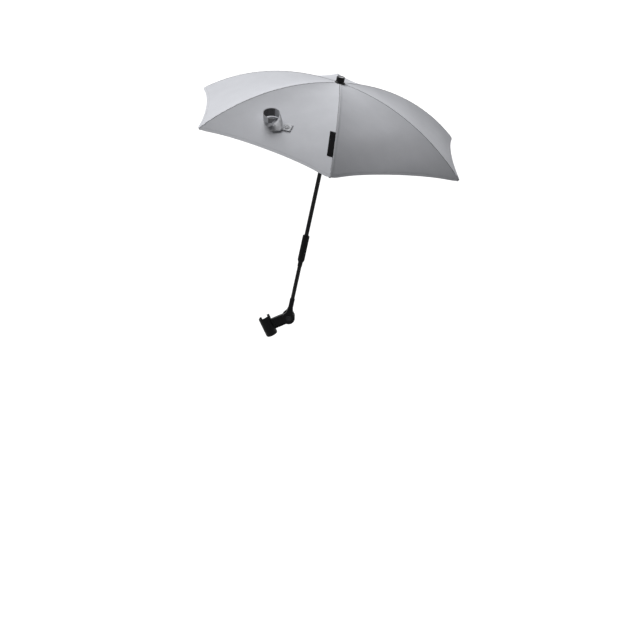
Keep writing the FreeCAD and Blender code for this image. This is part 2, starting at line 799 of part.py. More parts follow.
runner = new_body("RunnerTurning")
runner_profile = polygon(
    sketch_on(runner, "XZ_Plane"),
    [
        ("pole_diameter / 2 + sliding_fit", "-runner_tail"),
        ("runner_lip / 2 - edge_break", "-runner_tail"),
        ("runner_lip / 2", "-runner_tail + edge_break"),
        ("runner_lip / 2", "-runner_tail + runner_lip_height"),
        ("runner_grip / 2", "-runner_tail + runner_lip_height + edge_run"),
        ("runner_grip / 2", "-runner_skirt - edge_run"),
        ("hub_diameter / 2", "-runner_skirt"),
        ("hub_diameter / 2", "runner_skirt - edge_break"),
        ("hub_diameter / 2 - edge_break", "runner_skirt"),
        ("hub_core / 2 - edge_break", "runner_skirt"),
        ("pole_diameter / 2 + edge_run", "runner_nose"),
        ("pole_diameter / 2 + sliding_fit", "runner_nose"),
    ],
)
turned(runner, runner_profile)
stretcher_slot = feature(
    runner,
    "Pocket",
    polygon(sketch_on(runner, "XY_Plane"), SLOT),
    through=True,
    symmetric=True,
)
SEAT_ROOF = "(pin_diameter / 2 + 4 * running_fit)"
seat_half = "(trunnion_length / 2 + cloth_fit)"
trunnion_seat = feature(
    runner,
    "Pocket",
    polygon(
        sketch_on(runner, "XY_Plane", SEAT_ROOF),
        [
            (f"hinge_radius - {SEAT_ROOF}", f"-{seat_half}"),
            (f"hinge_radius + {SEAT_ROOF}", f"-{seat_half}"),
            (f"hinge_radius + {SEAT_ROOF}", seat_half),
            (f"hinge_radius - {SEAT_ROOF}", seat_half),
        ],
    ),
    "runner_skirt + runner_nose",
)
polar(runner, [stretcher_slot, trunnion_seat], RIB_COUNT)
runner_turn = Rotation(Vector(0, 0, 1), FIRST_RIB_ANGLE)
runner_body_place = Placement(runner_place.Base, runner_turn)

# Button: a plunger through the runner's grip that frees it from the open stop

button_angle = 180.0 / RIB_COUNT
bore = bind(
    doc.addObject("Part::Cylinder", "ButtonBore"),
    Radius="button_stem / 2 + running_fit",
    Height="runner_lip",
)
button_out = Placement(
    Vector(0, 0, -size["button_drop"]), Rotation(Vector(0, 0, 1), button_angle)
) * Placement(Vector(0, 0, 0), Rotation(Vector(0, 1, 0), 90))
bore.Placement = button_out
bored_runner = doc.addObject("Part::Cut", "runner")
bored_runner.Base = runner
bored_runner.Tool = bore
keep(bored_runner, "runner", runner_body_place)

HEAD_INNER = "(runner_grip / 2 + cloth_fit + button_travel)"
STEM_INNER = "(pole_diameter / 2 + cloth_fit + button_travel)"
turned_piece(
    "runner_button",
    [
        ("0", STEM_INNER),
        ("button_stem / 2", STEM_INNER),
        ("button_stem / 2", HEAD_INNER),
        ("button_head / 2", HEAD_INNER),
        ("button_head / 2", f"{HEAD_INNER} + button_head_height * 0.6"),
        ("button_head / 2 - edge_break / 2", f"{HEAD_INNER} + button_head_height"),
        ("0", f"{HEAD_INNER} + button_head_height"),
    ],
    runner_body_place * button_out,
)

# Ribs, each with a bracket for its stretcher, a rivet, a tip cap and the stretcher itself


def make_rib(number):
    label = f"rib_{number + 1}"
    body = new_body(label)
    turned(body, circle(sketch_on(body, "YZ_Plane"), "0", RIB_BEND, "rib_diameter"), "H_Axis", RIB_SWEEP)
    pad(body, circle(sketch_on(body, "XZ_Plane"), "0", RIB_BEND, "eye_diameter"), "eye_width")
    pocket_through(
        body, circle(sketch_on(body, "XZ_Plane"), "0", RIB_BEND, "pin_diameter + 2 * running_fit")
    )
    bend_centre = Placement(Vector(size["hinge_radius"], 0, -rib_bend), Rotation())
    keep(body, label, about_pole(rib_angle(number), bend_centre))


def make_bracket(number):
    label = f"rib_bracket_{number + 1}"
    body = new_body(label)
    pad(body, circle(sketch_on(body, "YZ_Plane"), "0", "0", "bracket_diameter"), "bracket_length")
    lobe = polygon(
        sketch_on(body, "XZ_Plane"),
        [
            ("-bracket_lobe / 2", "0"),
            ("bracket_lobe / 2", "0"),
            ("bracket_lobe / 2", "-bracket_drop"),
            ("-bracket_lobe / 2", "-bracket_drop"),
        ],
    )
    pad(body, lobe, "bracket_width")
    pad(body, circle(sketch_on(body, "XZ_Plane"), "0", "-bracket_drop", "bracket_lobe"), "bracket_width")
    slot = polygon(
        sketch_on(body, "YZ_Plane"),
        [
            ("-eye_width / 2 - cloth_fit", "-bracket_diameter / 2 - rod_fit"),
            ("eye_width / 2 + cloth_fit", "-bracket_diameter / 2 - rod_fit"),
            ("eye_width / 2 + cloth_fit", "-bracket_drop - bracket_lobe"),
            ("-eye_width / 2 - cloth_fit", "-bracket_drop - bracket_lobe"),
        ],
    )
    pocket_through(body, slot)
    pocket_through(body, circle(sketch_on(body, "YZ_Plane"), "0", "0", "rib_diameter + 2 * rod_fit"))
    pocket_through(
        body, circle(sketch_on(body, "XZ_Plane"), "0", "-bracket_drop", "pin_diameter + 2 * seat_fit")
    )
    keep(body, label, about_pole(rib_angle(number), on_rib(bracket_sweep)))


def make_rivet(number):
    half = "(bracket_width / 2 + seat_fit)"
    lie = Placement(Vector(0, 0, 0), Rotation(Vector(1, 0, 0), 90))
    turned_piece(
        f"stretcher_rivet_{number + 1}",
        [
            ("0", f"-{half} - rivet_head_height"),
            ("rivet_head / 2", f"-{half} - rivet_head_height"),
            ("rivet_head / 2", f"-{half}"),
            ("pin_diameter / 2", f"-{half}"),
            ("pin_diameter / 2", half),
            ("rivet_head / 2", half),
            ("rivet_head / 2", f"{half} + rivet_head_height"),
            ("0", f"{half} + rivet_head_height"),
        ],
        about_pole(rib_angle(number), on_rib(bracket_sweep, size["bracket_drop"]) * lie),
    )


def make_tip(number):
    bore = "(rib_diameter / 2 + rod_fit)"
    label = f"rib_tip_{number + 1}"
    body = new_body(label)
    profile = polygon(
        sketch_on(body, "XZ_Plane"),
        [
            ("-tip_length", bore),
            ("-tip_length", f"{bore} + edge_break / 2"),
            ("-tip_length + edge_run", "tip_diameter / 2"),
            ("tip_nose - edge_run", "tip_diameter / 2"),
            ("tip_nose - edge_run / 4", "tip_diameter / 2 - edge_break"),
            ("tip_nose", "tip_diameter / 4"),
            ("tip_nose", "0"),
            ("seat_fit", "0"),
            ("seat_fit", bore),
        ],
    )
    turned(body, profile, "H_Axis")
    keep(body, label, about_pole(rib_angle(number), on_rib(rib_sweep)))


def make_stretcher(number):
    label = f"stretcher_{number + 1}"
    body = new_body(label)
    bar = polygon(
        sketch_on(body, "XZ_Plane"),
        [
            ("0", "-stretcher_depth / 2"),
            ("stretcher_reach", "-stretcher_depth / 2"),
            ("stretcher_reach", "stretcher_depth / 2"),
            ("0", "stretcher_depth / 2"),
        ],
    )
    pad(body, bar, "stretcher_width")
    eyes = sketch_on(body, "XZ_Plane")
    circle(eyes, "0", "0", "eye_diameter")
    circle(eyes, "stretcher_reach", "0", "eye_diameter")
    pad(body, eyes, "eye_width")
    trunnion = circle(sketch_on(body, "XZ_Plane"), "stretcher_reach", "0", "pin_diameter")
    pad(body, trunnion, "trunnion_length")
    pocket_through(
        body, circle(sketch_on(body, "XZ_Plane"), "0", "0", "pin_diameter + 2 * running_fit")
    )
    slope = math.degrees(math.atan2(joint_down, joint_out))
    spot = Vector(size["hinge_radius"] + joint_out, 0, -joint_down)
    inward = Placement(spot, Rotation(Vector(0, 1, 0), 180.0 - slope))
    keep(body, label, about_pole(rib_angle(number), inward))


for number in range(RIB_COUNT):
    make_rib(number)
    make_bracket(number)
    make_rivet(number)
    make_tip(number)
    make_stretcher(number)

# Canopy: six gores of cloth, saddle-shaped between the ribs, with a hollowed hem

hole_radius = size["cloth_hole"] / 2
cloth_reach = size["rib_reach"] + size["cloth_overhang"]
cloth_base = size["hub_top"] + size["cloth_fit"]
tip_clear = size["tip_diameter"] / 2 + size["cloth_fit"]
tip_top = on_rib(rib_sweep, -tip_clear).Base
cloth_span = tip_top.x - hole_radius
cloth_drop = cloth_base - tip_top.z
cloth_bend = (cloth_span**2 + cloth_drop**2) / (2 * cloth_drop)
half_gore = math.pi / RIB_COUNT
SECTION_COUNT = 8
HEM_SLACK = 0.25
CROWN_SLACK = 0.004


def cloth_height(radius):
    """Height of the cloth's underside over a rib, above the crown's hinge plane."""
    return cloth_base - cloth_bend + math.sqrt(cloth_bend**2 - (radius - hole_radius) ** 2)


def cloth_slope(radius):
    """Fall of the cloth along the middle of a gore, in radians."""
    return math.atan(math.tan(math.asin((radius - hole_radius) / cloth_bend)) / math.cos(half_gore))


def cloth_slack(radius):
    """Sag of the cloth across a gore: slack midway, drawn tight at the crown."""
    share = (radius - hole_radius) / (cloth_reach - hole_radius)
    return size["cloth_sag"] * (math.sin(math.pi * share) + HEM_SLACK * share) + CROWN_SLACK * radius


def gore_section(radius):
    """A thin curved strip across the gore, its ends in the upright planes of two ribs."""
    slope = cloth_slope(radius)
    out = Vector(math.sin(slope), 0, math.cos(slope))
    middle = Vector(radius * math.cos(half_gore), 0, cloth_height(radius))
    sides = []
    for lift in (0.0, size["cloth_thickness"]):
        reach = (middle.x + lift * out.x) * math.tan(half_gore)
        ends = [middle + out * lift + Vector(0, sign * reach, 0) for sign in (-1, 1)]
        sides.append((ends, middle + out * (lift - cloth_slack(radius))))
    (low_ends, low_middle), (high_ends, high_middle) = sides
    return Part.Wire(
        [
            Part.Arc(low_ends[0], low_middle, low_ends[1]).toShape(),
            Part.LineSegment(low_ends[1], high_ends[1]).toShape(),
            Part.Arc(high_ends[1], high_middle, high_ends[0]).toShape(),
            Part.LineSegment(high_ends[0], low_ends[0]).toShape(),
        ]
    )


def gore_shape():
    steps = [i / (SECTION_COUNT - 1) for i in range(SECTION_COUNT)]
    radii = [hole_radius + (cloth_reach - hole_radius) * step for step in steps]
    cloth = Part.makeLoft([gore_section(radius) for radius in radii], True, False)
    half_hem = cloth_reach * math.sin(half_gore)
    hollow = (half_hem**2 + size["hem_dip"] ** 2) / (2 * size["hem_dip"])
    centre = cloth_reach * math.cos(half_gore) - size["hem_dip"] + hollow
    depth = 2 * size["rib_drop"]
    cutter = Part.makeCylinder(hollow, 2 * depth, Vector(centre, 0, -depth - size["rib_drop"]))
    return cloth.cut(cutter)


def gore_angle(number):
    return rib_angle(number) + 180.0 / RIB_COUNT


one_gore = gore_shape()
for number in range(RIB_COUNT):
    gore = doc.addObject("Part::Feature", f"canopy_gore_{number + 1}")
    gore.Shape = one_gore
    keep(gore, f"canopy_gore_{number + 1}", about_pole(gore_angle(number), Placement()))


def on_cloth(reach, across_gore, lift):
    """A place on a gore's outer face: X to the hem, Y round the canopy, Z off the cloth."""
    radius = reach / math.cos(half_gore)
    slope = cloth_slope(radius)
    width = radius * math.sin(half_gore)
    hollow = cloth_slack(radius) * (1 - (across_gore / width) ** 2)
    out = Vector(math.sin(slope), 0, math.cos(slope))
    spot = Vector(reach, across_gore, cloth_height(radius))
    spot += out * (size["cloth_thickness"] - hollow + lift)
    return Placement(spot, Rotation(Vector(0, 1, 0), math.degrees(slope)))


def cross_fall(reach, across_gore):
    """Tilt of the cloth across the gore, in degrees, where it sags between two ribs."""
    width = reach * math.tan(half_gore)
    return math.degrees(math.atan(2 * cloth_slack(reach / math.cos(half_gore)) * across_gore / width**2))


# Closing strap: a tape with a sewn patch, its free end rolled up, on the gore before the first rib

STRAP_GORE = RIB_COUNT - 1
strap_lie = Placement(Vector(0, 0, 0), Rotation(Vector(0, 0, 1), size["strap_turn"]))
strap_spot = on_cloth(size["strap_reach"], size["strap_start"], 2 * size["cloth_fit"])
strap_place = about_pole(gore_angle(STRAP_GORE), strap_spot * strap_lie)

curl_place = Vector(-size["curl_shift"], -size["curl_offset"], size["curl_lift"])
curl_outer = Part.makeCylinder(size["curl_diameter"] / 2, size["strap_width"], curl_place)
curl_inner = Part.makeCylinder(
    size["curl_diameter"] / 2 - size["strap_thickness"], size["strap_width"], curl_place
)
strip_tail = size["curl_offset"] - size["curl_diameter"] / 2 + 4 * size["strap_thickness"]
strip = Part.makeBox(
    size["strap_width"],
    size["strap_patch"] + strip_tail,
    size["strap_thickness"],
    Vector(-size["strap_width"] / 2, -strip_tail, 0),
)
strap = doc.addObject("Part::Feature", "closing_strap")
strap.Shape = strip.fuse(curl_outer.cut(curl_inner))
keep(strap, "closing_strap", strap_place)

snap = bind(doc.addObject("Part::Cylinder", "strap_snap"), Radius="snap_diameter / 2", Height="snap_height")
snap_across = size["strap_patch"] - size["snap_diameter"]
snap_spot = Vector(0, snap_across, size["strap_thickness"] + size["seat_fit"])
keep(snap, "strap_snap", strap_place * Placement(snap_spot, Rotation()))

# Bare tab of tape sewn into the seam beside the front rib

tab = bind(
    doc.addObject("Part::Box", "seam_tab"), Length="tab_length", Width="tab_width", Height="tab_thickness"
)
tab_offset = size["tab_inset"] + size["tab_width"] / 2
tab_along = size["tab_reach"] * math.cos(half_gore) + tab_offset * math.sin(half_gore)
tab_across = size["tab_reach"] * math.sin(half_gore) - tab_offset * math.cos(half_gore)
tab_tilt = Rotation(Vector(1, 0, 0), cross_fall(tab_along, tab_across))
tab_turn = Rotation(Vector(0, 0, 1), 180.0 / RIB_COUNT)
tab_corner = Placement(Vector(-size["tab_length"] / 2, -size["tab_width"] / 2, 0), Rotation())
tab_lie = Placement(Vector(0, 0, 0), tab_tilt * tab_turn) * tab_corner
tab_place = on_cloth(tab_along, tab_across, size["cloth_fit"]) * tab_lie
keep(tab, "seam_tab", about_pole(gore_angle(STRAP_GORE), tab_place))

doc.recompute()
failed = [o.Label for o in doc.Objects if "Invalid" in o.State or "Error" in o.State]
broken = [p.Label for p in pieces if p.Shape.isNull() or not p.Shape.isValid() or not p.Shape.Solids]
if failed or broken:
    raise RuntimeError(f"failed features: {failed}, broken sub-parts: {broken}")

os.makedirs("parts", exist_ok=True)
for piece in pieces:
    piece.Shape.exportStep(f"parts/{piece.Label}.step")
print(len(pieces), "sub-parts; the runner rests", round(runner_drop, 3), "below the crown's hinges")
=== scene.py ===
"""Finish of a clip-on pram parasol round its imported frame: materials, sewn cloth, light and camera."""

import json
import math

import bpy
import numpy as np
from mathutils import Matrix, Vector


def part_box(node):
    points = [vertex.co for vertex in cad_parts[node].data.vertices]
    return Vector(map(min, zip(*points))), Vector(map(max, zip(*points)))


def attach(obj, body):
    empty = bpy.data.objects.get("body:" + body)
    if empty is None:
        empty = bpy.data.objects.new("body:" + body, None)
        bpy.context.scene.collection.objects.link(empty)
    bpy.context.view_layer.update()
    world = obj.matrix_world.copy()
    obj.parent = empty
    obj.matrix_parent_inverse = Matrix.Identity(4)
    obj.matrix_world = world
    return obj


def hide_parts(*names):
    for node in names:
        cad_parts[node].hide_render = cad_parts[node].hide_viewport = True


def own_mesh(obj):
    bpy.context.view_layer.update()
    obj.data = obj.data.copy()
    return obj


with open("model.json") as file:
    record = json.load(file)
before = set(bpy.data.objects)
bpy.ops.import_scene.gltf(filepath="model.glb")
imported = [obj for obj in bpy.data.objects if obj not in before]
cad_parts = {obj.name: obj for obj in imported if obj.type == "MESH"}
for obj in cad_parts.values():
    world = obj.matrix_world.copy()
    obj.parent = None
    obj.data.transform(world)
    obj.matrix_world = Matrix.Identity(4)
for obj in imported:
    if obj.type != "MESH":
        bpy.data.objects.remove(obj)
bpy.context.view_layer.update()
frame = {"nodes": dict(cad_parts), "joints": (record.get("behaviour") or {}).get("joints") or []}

# Clip: a black collar moulded in one with its bracket arm. It snaps over a round tube, and a soft
# rubber liner inside the collar grips the tube. The moulding has a fine spark-etched grain.

nodes = frame["nodes"]
GRAIN_LOW = 0.3
GRAIN_HIGH = 0.7
EASED_ANGLE = math.radians(28)
EASED_STEPS = 2
WELD_REACH = 1e-6


def start_material(name, roughness, metallic=0.0):
    """A new material and its shader, with the values that are the same all over."""
    material = bpy.data.materials.new(name)
    material.use_nodes = True
    shader = material.node_tree.nodes["Principled BSDF"]
    shader.inputs["Roughness"].default_value = roughness
    shader.inputs["Metallic"].default_value = metallic
    return material, shader


def add_node(material, kind, **values):
    node = material.node_tree.nodes.new(kind)
    for name, value in values.items():
        node.inputs[name.replace("_", " ")].default_value = value
    return node


def join(material, source, target):
    material.node_tree.links.new(source, target)


def noise(material, scale, detail=3.0, roughness=0.5, stretch=(1.0, 1.0, 1.0)):
    """Grain in the piece's own metres, so it stays put when the piece moves."""
    place = add_node(material, "ShaderNodeTexCoord")
    spread = add_node(material, "ShaderNodeMapping", Scale=stretch)
    grain = add_node(material, "ShaderNodeTexNoise", Scale=scale, Detail=detail, Roughness=roughness)
    join(material, place.outputs["Object"], spread.inputs["Vector"])
    join(material, spread.outputs["Vector"], grain.inputs["Vector"])
    return grain.outputs["Fac"]


def spread_between(material, factor, low, high, target):
    """Carries a grain over to a range of a shader's number."""
    ramp = add_node(
        material, "ShaderNodeMapRange", From_Min=GRAIN_LOW, From_Max=GRAIN_HIGH, To_Min=low, To_Max=high
    )
    join(material, factor, ramp.inputs["Value"])
    join(material, ramp.outputs["Result"], target)


def tint(material, factor, dark, light, target):
    """Colours between dark and light, as a grain says."""
    ramp = add_node(material, "ShaderNodeValToRGB")
    ends = ((GRAIN_LOW, dark), (GRAIN_HIGH, light))
    for element, (position, colour) in zip(ramp.color_ramp.elements, ends):
        element.position = position
        element.color = (*colour, 1.0)
    join(material, factor, ramp.inputs["Fac"])
    join(material, ramp.outputs["Color"], target)


def raise_grain(material, shader, height, depth, strength=1.0):
    """Bump from a grain, with its depth in metres."""
    bump = add_node(material, "ShaderNodeBump", Strength=strength, Distance=depth)
    join(material, height, bump.inputs["Height"])
    join(material, bump.outputs["Normal"], shader.inputs["Normal"])


def etched_plastic(name, dark, light, roughness):
    """Moulded plastic with an etched grain and slightly polished patches."""
    material, shader = start_material(name, roughness)
    shader.inputs["Specular IOR Level"].default_value = 0.09
    tint(material, noise(material, 70.0), dark, light, shader.inputs["Base Color"])
    polish = noise(material, 45.0, detail=5.0)
    spread_between(material, polish, roughness - 0.08, roughness + 0.08, shader.inputs["Roughness"])
    raise_grain(material, shader, noise(material, 1500.0, detail=2.0), depth=0.00012, strength=0.5)
    return material


def dress(material, *names):
    for name in names:
        slots = nodes[name].data.materials
        slots.clear()
        slots.append(material)


def ease_edges(width, *names):
    """Rounds a moulding's or casting's edges, which no tool leaves sharp."""
    for name in names:
        weld = nodes[name].modifiers.new("Weld", "WELD")
        weld.merge_threshold = WELD_REACH
        bevel = nodes[name].modifiers.new("Eased edges", "BEVEL")
        bevel.width = width
        bevel.segments = EASED_STEPS
        bevel.limit_method = "ANGLE"
        bevel.angle_limit = EASED_ANGLE
        bevel.harden_normals = True


moulded_black = etched_plastic("moulded black plastic", (0.006, 0.006, 0.007), (0.011, 0.011, 0.012), 0.42)
dress(moulded_black, "clip_body")
ease_edges(0.0006, "clip_body")

soft_rubber, rubber_shader = start_material("soft black rubber", 0.8)
rubber_shader.inputs["Specular IOR Level"].default_value = 0.07
rubber_colour = rubber_shader.inputs["Base Color"]
tint(soft_rubber, noise(soft_rubber, 120.0), (0.009, 0.009, 0.009), (0.02, 0.02, 0.02), rubber_colour)
raise_grain(soft_rubber, rubber_shader, noise(soft_rubber, 900.0), depth=0.0002)
dress(soft_rubber, "clip_liner")
ease_edges(0.0003, "clip_liner")

# Tilt knuckle: a spoon-shaped black moulding that forks over the arm's eye. A blackened bolt and a
# zinc nut squeeze it on two nylon washers, so that it stays at any tilt.

dress(moulded_black, "knuckle")
ease_edges(0.0008, "knuckle")

black_oxide, oxide_shader = start_material("blackened bolt", 0.34, metallic=1.0)
oxide_bloom = noise(black_oxide, 160.0, detail=4.0)
oxide_wear = noise(black_oxide, 300.0, detail=4.0)
oxide_colour = oxide_shader.inputs["Base Color"]
tint(black_oxide, oxide_bloom, (0.013, 0.013, 0.014), (0.026, 0.026, 0.028), oxide_colour)
spread_between(black_oxide, oxide_wear, 0.26, 0.44, oxide_shader.inputs["Roughness"])
dress(black_oxide, "pivot_bolt")
ease_edges(0.0003, "pivot_bolt")

zinc_plate, zinc_shader = start_material("zinc plated steel", 0.3, metallic=1.0)
zinc_bloom = noise(zinc_plate, 220.0, detail=5.0)
zinc_scratches = noise(zinc_plate, 500.0, detail=5.0, stretch=(1.0, 8.0, 1.0))
tint(zinc_plate, zinc_bloom, (0.42, 0.43, 0.45), (0.62, 0.62, 0.63), zinc_shader.inputs["Base Color"])
spread_between(zinc_plate, zinc_scratches, 0.22, 0.42, zinc_shader.inputs["Roughness"])
dress(zinc_plate, "pivot_nut")
ease_edges(0.0003, "pivot_nut")

natural_nylon, nylon_shader = start_material("natural nylon", 0.5)
nylon_cloud = noise(natural_nylon, 90.0)
tint(natural_nylon, nylon_cloud, (0.46, 0.45, 0.40), (0.56, 0.55, 0.51), nylon_shader.inputs["Base Color"])
raise_grain(natural_nylon, nylon_shader, noise(natural_nylon, 700.0), depth=0.0001)
dress(natural_nylon, "friction_washers")

# Pole: a powder-coated rod below and a tube above, joined by a moulded elbow on a steel pin. A
# fluted sleeve slides down over the elbow and locks it, guided by a bush at its top.


def powder_coat(name, dark, light, roughness):
    """Baked black paint on metal, with a slight orange peel and long faint rub marks."""
    material, shader = start_material(name, roughness)
    shader.inputs["Specular IOR Level"].default_value = 0.12
    tint(material, noise(material, 60.0, detail=4.0), dark, light, shader.inputs["Base Color"])
    rubbed = noise(material, 260.0, detail=4.0, roughness=0.6, stretch=(1.0, 1.0, 0.05))
    spread_between(material, rubbed, roughness - 0.1, roughness + 0.1, shader.inputs["Roughness"])
    raise_grain(material, shader, noise(material, 1100.0, detail=1.0), depth=0.00008, strength=0.5)
    return material


coated_pole = powder_coat("powder coated pole", (0.006, 0.006, 0.007), (0.010, 0.010, 0.011), 0.36)
dress(coated_pole, "lower_rod", "upper_pole")
dress(moulded_black, "elbow_tongue", "elbow_fork", "sleeve_bush")
dress(zinc_plate, "elbow_pin")
sleeve_black = etched_plastic("sleeve black plastic", (0.005, 0.005, 0.006), (0.010, 0.010, 0.011), 0.5)
dress(sleeve_black, "sleeve")
ease_edges(0.0004, "elbow_tongue", "sleeve")

# Crown and runner: two slotted black mouldings, the crown fixed at the pole's top and the runner free
# to slide below it. Steel pins hold the ribs, a sprung button frees the runner, and the finial's dish
# clamps the cloth on the crown. A pale grey disc in the finial's hollow top is a painted reflection.

dress(moulded_black, "crown", "runner")
dress(zinc_plate, "crown_pins")
ease_edges(0.0003, "crown", "runner")
polished_black = etched_plastic("smooth black plastic", (0.006, 0.006, 0.007), (0.010, 0.010, 0.011), 0.3)
dress(polished_black, "runner_button")

# Radius, soft edge and grey of the painted reflection in the finial's hollow top.
GLINT_RADIUS = 0.0077
FINIAL_HOLLOW = 0.0016
GLINT_EDGE = 0.0002
GLINT_GREY = (0.50, 0.50, 0.52, 1.0)


def glint_topped(black):
    """A copy of a black plastic with a painted reflection, a pale grey disc in the middle of the finial's
    top.
    """
    material = black.copy()
    low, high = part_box("finial")
    middle = ((low[0] + high[0]) / 2, (low[1] + high[1]) / 2, high[2] - FINIAL_HOLLOW)
    shader = material.node_tree.nodes["Principled BSDF"]
    plain = shader.inputs["Base Color"].links[0].from_socket
    away = add_node(material, "ShaderNodeVectorMath")
    away.operation = "DISTANCE"
    away.inputs[1].default_value = middle
    join(material, add_node(material, "ShaderNodeTexCoord").outputs["Object"], away.inputs[0])
    disc = add_node(
        material, "ShaderNodeMapRange", From_Min=GLINT_RADIUS, From_Max=GLINT_RADIUS - GLINT_EDGE, To_Max=1.0
    )
    join(material, away.outputs["Value"], disc.inputs["Value"])
    blend = add_node(material, "ShaderNodeMixRGB", Color2=GLINT_GREY)
    join(material, disc.outputs["Result"], blend.inputs["Fac"])
    join(material, plain, blend.inputs["Color1"])
    join(material, blend.outputs["Color"], shader.inputs["Base Color"])
    material.name = "smooth black plastic with a painted reflection"
    return material


dress(glint_topped(polished_black), "finial")
ease_edges(0.0005, "finial")
ease_edges(0.0002, "runner_button")

# Ribs and stretchers: six lacquered steel wires and six flat bars that fold like an umbrella's. Each
# rib carries a moulded bracket with a rivet for its stretcher, and ends in a blunt moulded tip.

RIB_COUNT = 6
lacquered_steel = powder_coat("black lacquered steel", (0.014, 0.014, 0.015), (0.026, 0.026, 0.028), 0.26)
for rib in range(1, RIB_COUNT + 1):
    dress(lacquered_steel, f"rib_{rib}", f"stretcher_{rib}")
    dress(moulded_black, f"rib_bracket_{rib}", f"rib_tip_{rib}")
    dress(zinc_plate, f"stretcher_rivet_{rib}")
    ease_edges(0.0002, f"stretcher_{rib}", f"rib_bracket_{rib}")

# Canopy cloth: light grey coated polyester in six gores, cut in halves here along each gore's middle so
# that every half folds with its own rib. It is stretched over the ribs, sags a little between them and
# has a narrow turned hem, hollowed between the tips and full at the blunt corners.

CLOTH_HOLE = 0.010
CLOTH_REACH = 0.368
CLOTH_SPAN = CLOTH_REACH - CLOTH_HOLE
CLOTH_BASE = 0.0047
CLOTH_BEND = 0.5592
CLOTH_THICKNESS = 0.0008
CLOTH_SAG = 0.006
HEM_SLACK = 0.25
CROWN_SLACK = 0.004
HEM_DIP = 0.009
CORNER_FULLNESS = 0.0025
CORNER_SPAN = 0.09
HEM_WIDTH = 0.008
HEM_FOLD = 0.0004
SEAM_HALF = 0.010
SEAM_SHARE_LEAST = 0.2
FLAP_THICKNESS = 0.0002
FLAP_STEP = 0.0015
PUCKER_DEPTH = 0.00035
PUCKER_LENGTH = 0.014
PUCKER_WIDTH = 0.012
PUCKER_BEAT = 5.3
RIPPLE_DEPTH = 0.0004
RIPPLE_WAVES = (31.0, 57.0)
RIPPLE_SHIFTS = (2.1, 1.3)
RIPPLE_SHORT = 0.6
RIPPLE_SKEW = 2.0
RIPPLE_LEAST = 0.4
HALF_GORE = math.pi / RIB_COUNT
HALF_WIDTH = CLOTH_REACH * math.sin(HALF_GORE)
SHARP_ANGLE = 35.0
WAVE_UNIT = 10.0

joints = {joint["name"]: joint for joint in frame["joints"]}
elbow = Vector(joints["elbow_bend"]["pos_m"])
hinges = [Vector(joints[f"rib_{rib}_fold"]["pos_m"]) for rib in range(1, RIB_COUNT + 1)]
crown = Vector((elbow.x, elbow.y, hinges[0].z))
rib_angles = [math.atan2(hinge.y - crown.y, hinge.x - crown.x) for hinge in hinges]
rib_outs = [Vector((math.cos(angle), math.sin(angle), 0)) for angle in rib_angles]


def cloth_height(radius):
    """Height of the cloth's underside over a rib, above the crown's hinges."""
    return CLOTH_BASE - CLOTH_BEND + np.sqrt(CLOTH_BEND**2 - (radius - CLOTH_HOLE) ** 2)


def cloth_fall(radius):
    """Slope of the cloth along the middle of a gore."""
    run = (radius - CLOTH_HOLE) / CLOTH_BEND
    return np.arctan(run / np.sqrt(1 - run**2) / math.cos(HALF_GORE))


def cloth_slack(radius):
    """How far the middle of a gore sags below the line between its ribs."""
    share = (radius - CLOTH_HOLE) / CLOTH_SPAN
    return CLOTH_SAG * (np.sin(math.pi * share) + HEM_SLACK * share) + CROWN_SLACK * radius


def hem_radius(share):
    """Reach of the hem: hollow between the tips and full beside them, where the corner is doubled."""
    away = (1 - np.abs(share)) / CORNER_SPAN
    full = CORNER_FULLNESS * away * np.exp(1 - away)
    return CLOTH_REACH - HEM_DIP / math.cos(HALF_GORE) * (1 - share**2) + full


def seam_share(step):
    """Where a rib's seam ends and the open gore starts, as a share of the half gore."""
    radius = CLOTH_HOLE + step * CLOTH_SPAN
    return np.maximum(1 - SEAM_HALF / (radius * math.sin(HALF_GORE)), SEAM_SHARE_LEAST)


def pucker(radius, edge):
    """Small gathers that the thread pulls in beside a seam."""
    gather = 2 * math.pi * radius / PUCKER_LENGTH
    fades = np.exp(-((edge / PUCKER_WIDTH) ** 2))
    return PUCKER_DEPTH * np.sin(gather) * np.sin(gather / PUCKER_BEAT) * fades


def ripple(gore, radius, share):
    """Faint unevenness of hand-stretched cloth, none of it at the ribs."""
    long_wave, short_wave = (
        wave * radius + shift * gore for wave, shift in zip(RIPPLE_WAVES, RIPPLE_SHIFTS)
    )
    along = np.sin(long_wave) + RIPPLE_SHORT * np.sin(short_wave + RIPPLE_SKEW * share)
    return RIPPLE_DEPTH * along * (1 - share**2) * (RIPPLE_LEAST + radius / CLOTH_REACH)


def gore_points(gore, radius, share, lift):
    """Points on a gore in the row frame: share runs from -1 at its own rib to 1 at the next."""
    radius, share, lift = np.broadcast_arrays(radius, share, lift)
    fall = cloth_fall(radius)
    edge = (1 - np.abs(share)) * radius * math.sin(HALF_GORE)
    at_rib = lift + pucker(radius, edge)
    rise = at_rib - cloth_slack(radius) * (1 - share**2) + ripple(gore, radius, share)
    forward = radius * math.cos(HALF_GORE) + np.sin(fall) * rise
    sideways = share * math.tan(HALF_GORE) * (radius * math.cos(HALF_GORE) + np.sin(fall) * at_rib)
    turn = rib_angles[gore % RIB_COUNT] + HALF_GORE
    return np.stack(
        [
            crown.x + forward * math.cos(turn) - sideways * math.sin(turn),
            crown.y + forward * math.sin(turn) + sideways * math.cos(turn),
            crown.z + cloth_height(radius) + np.cos(fall) * rise,
        ],
        axis=-1,
    )


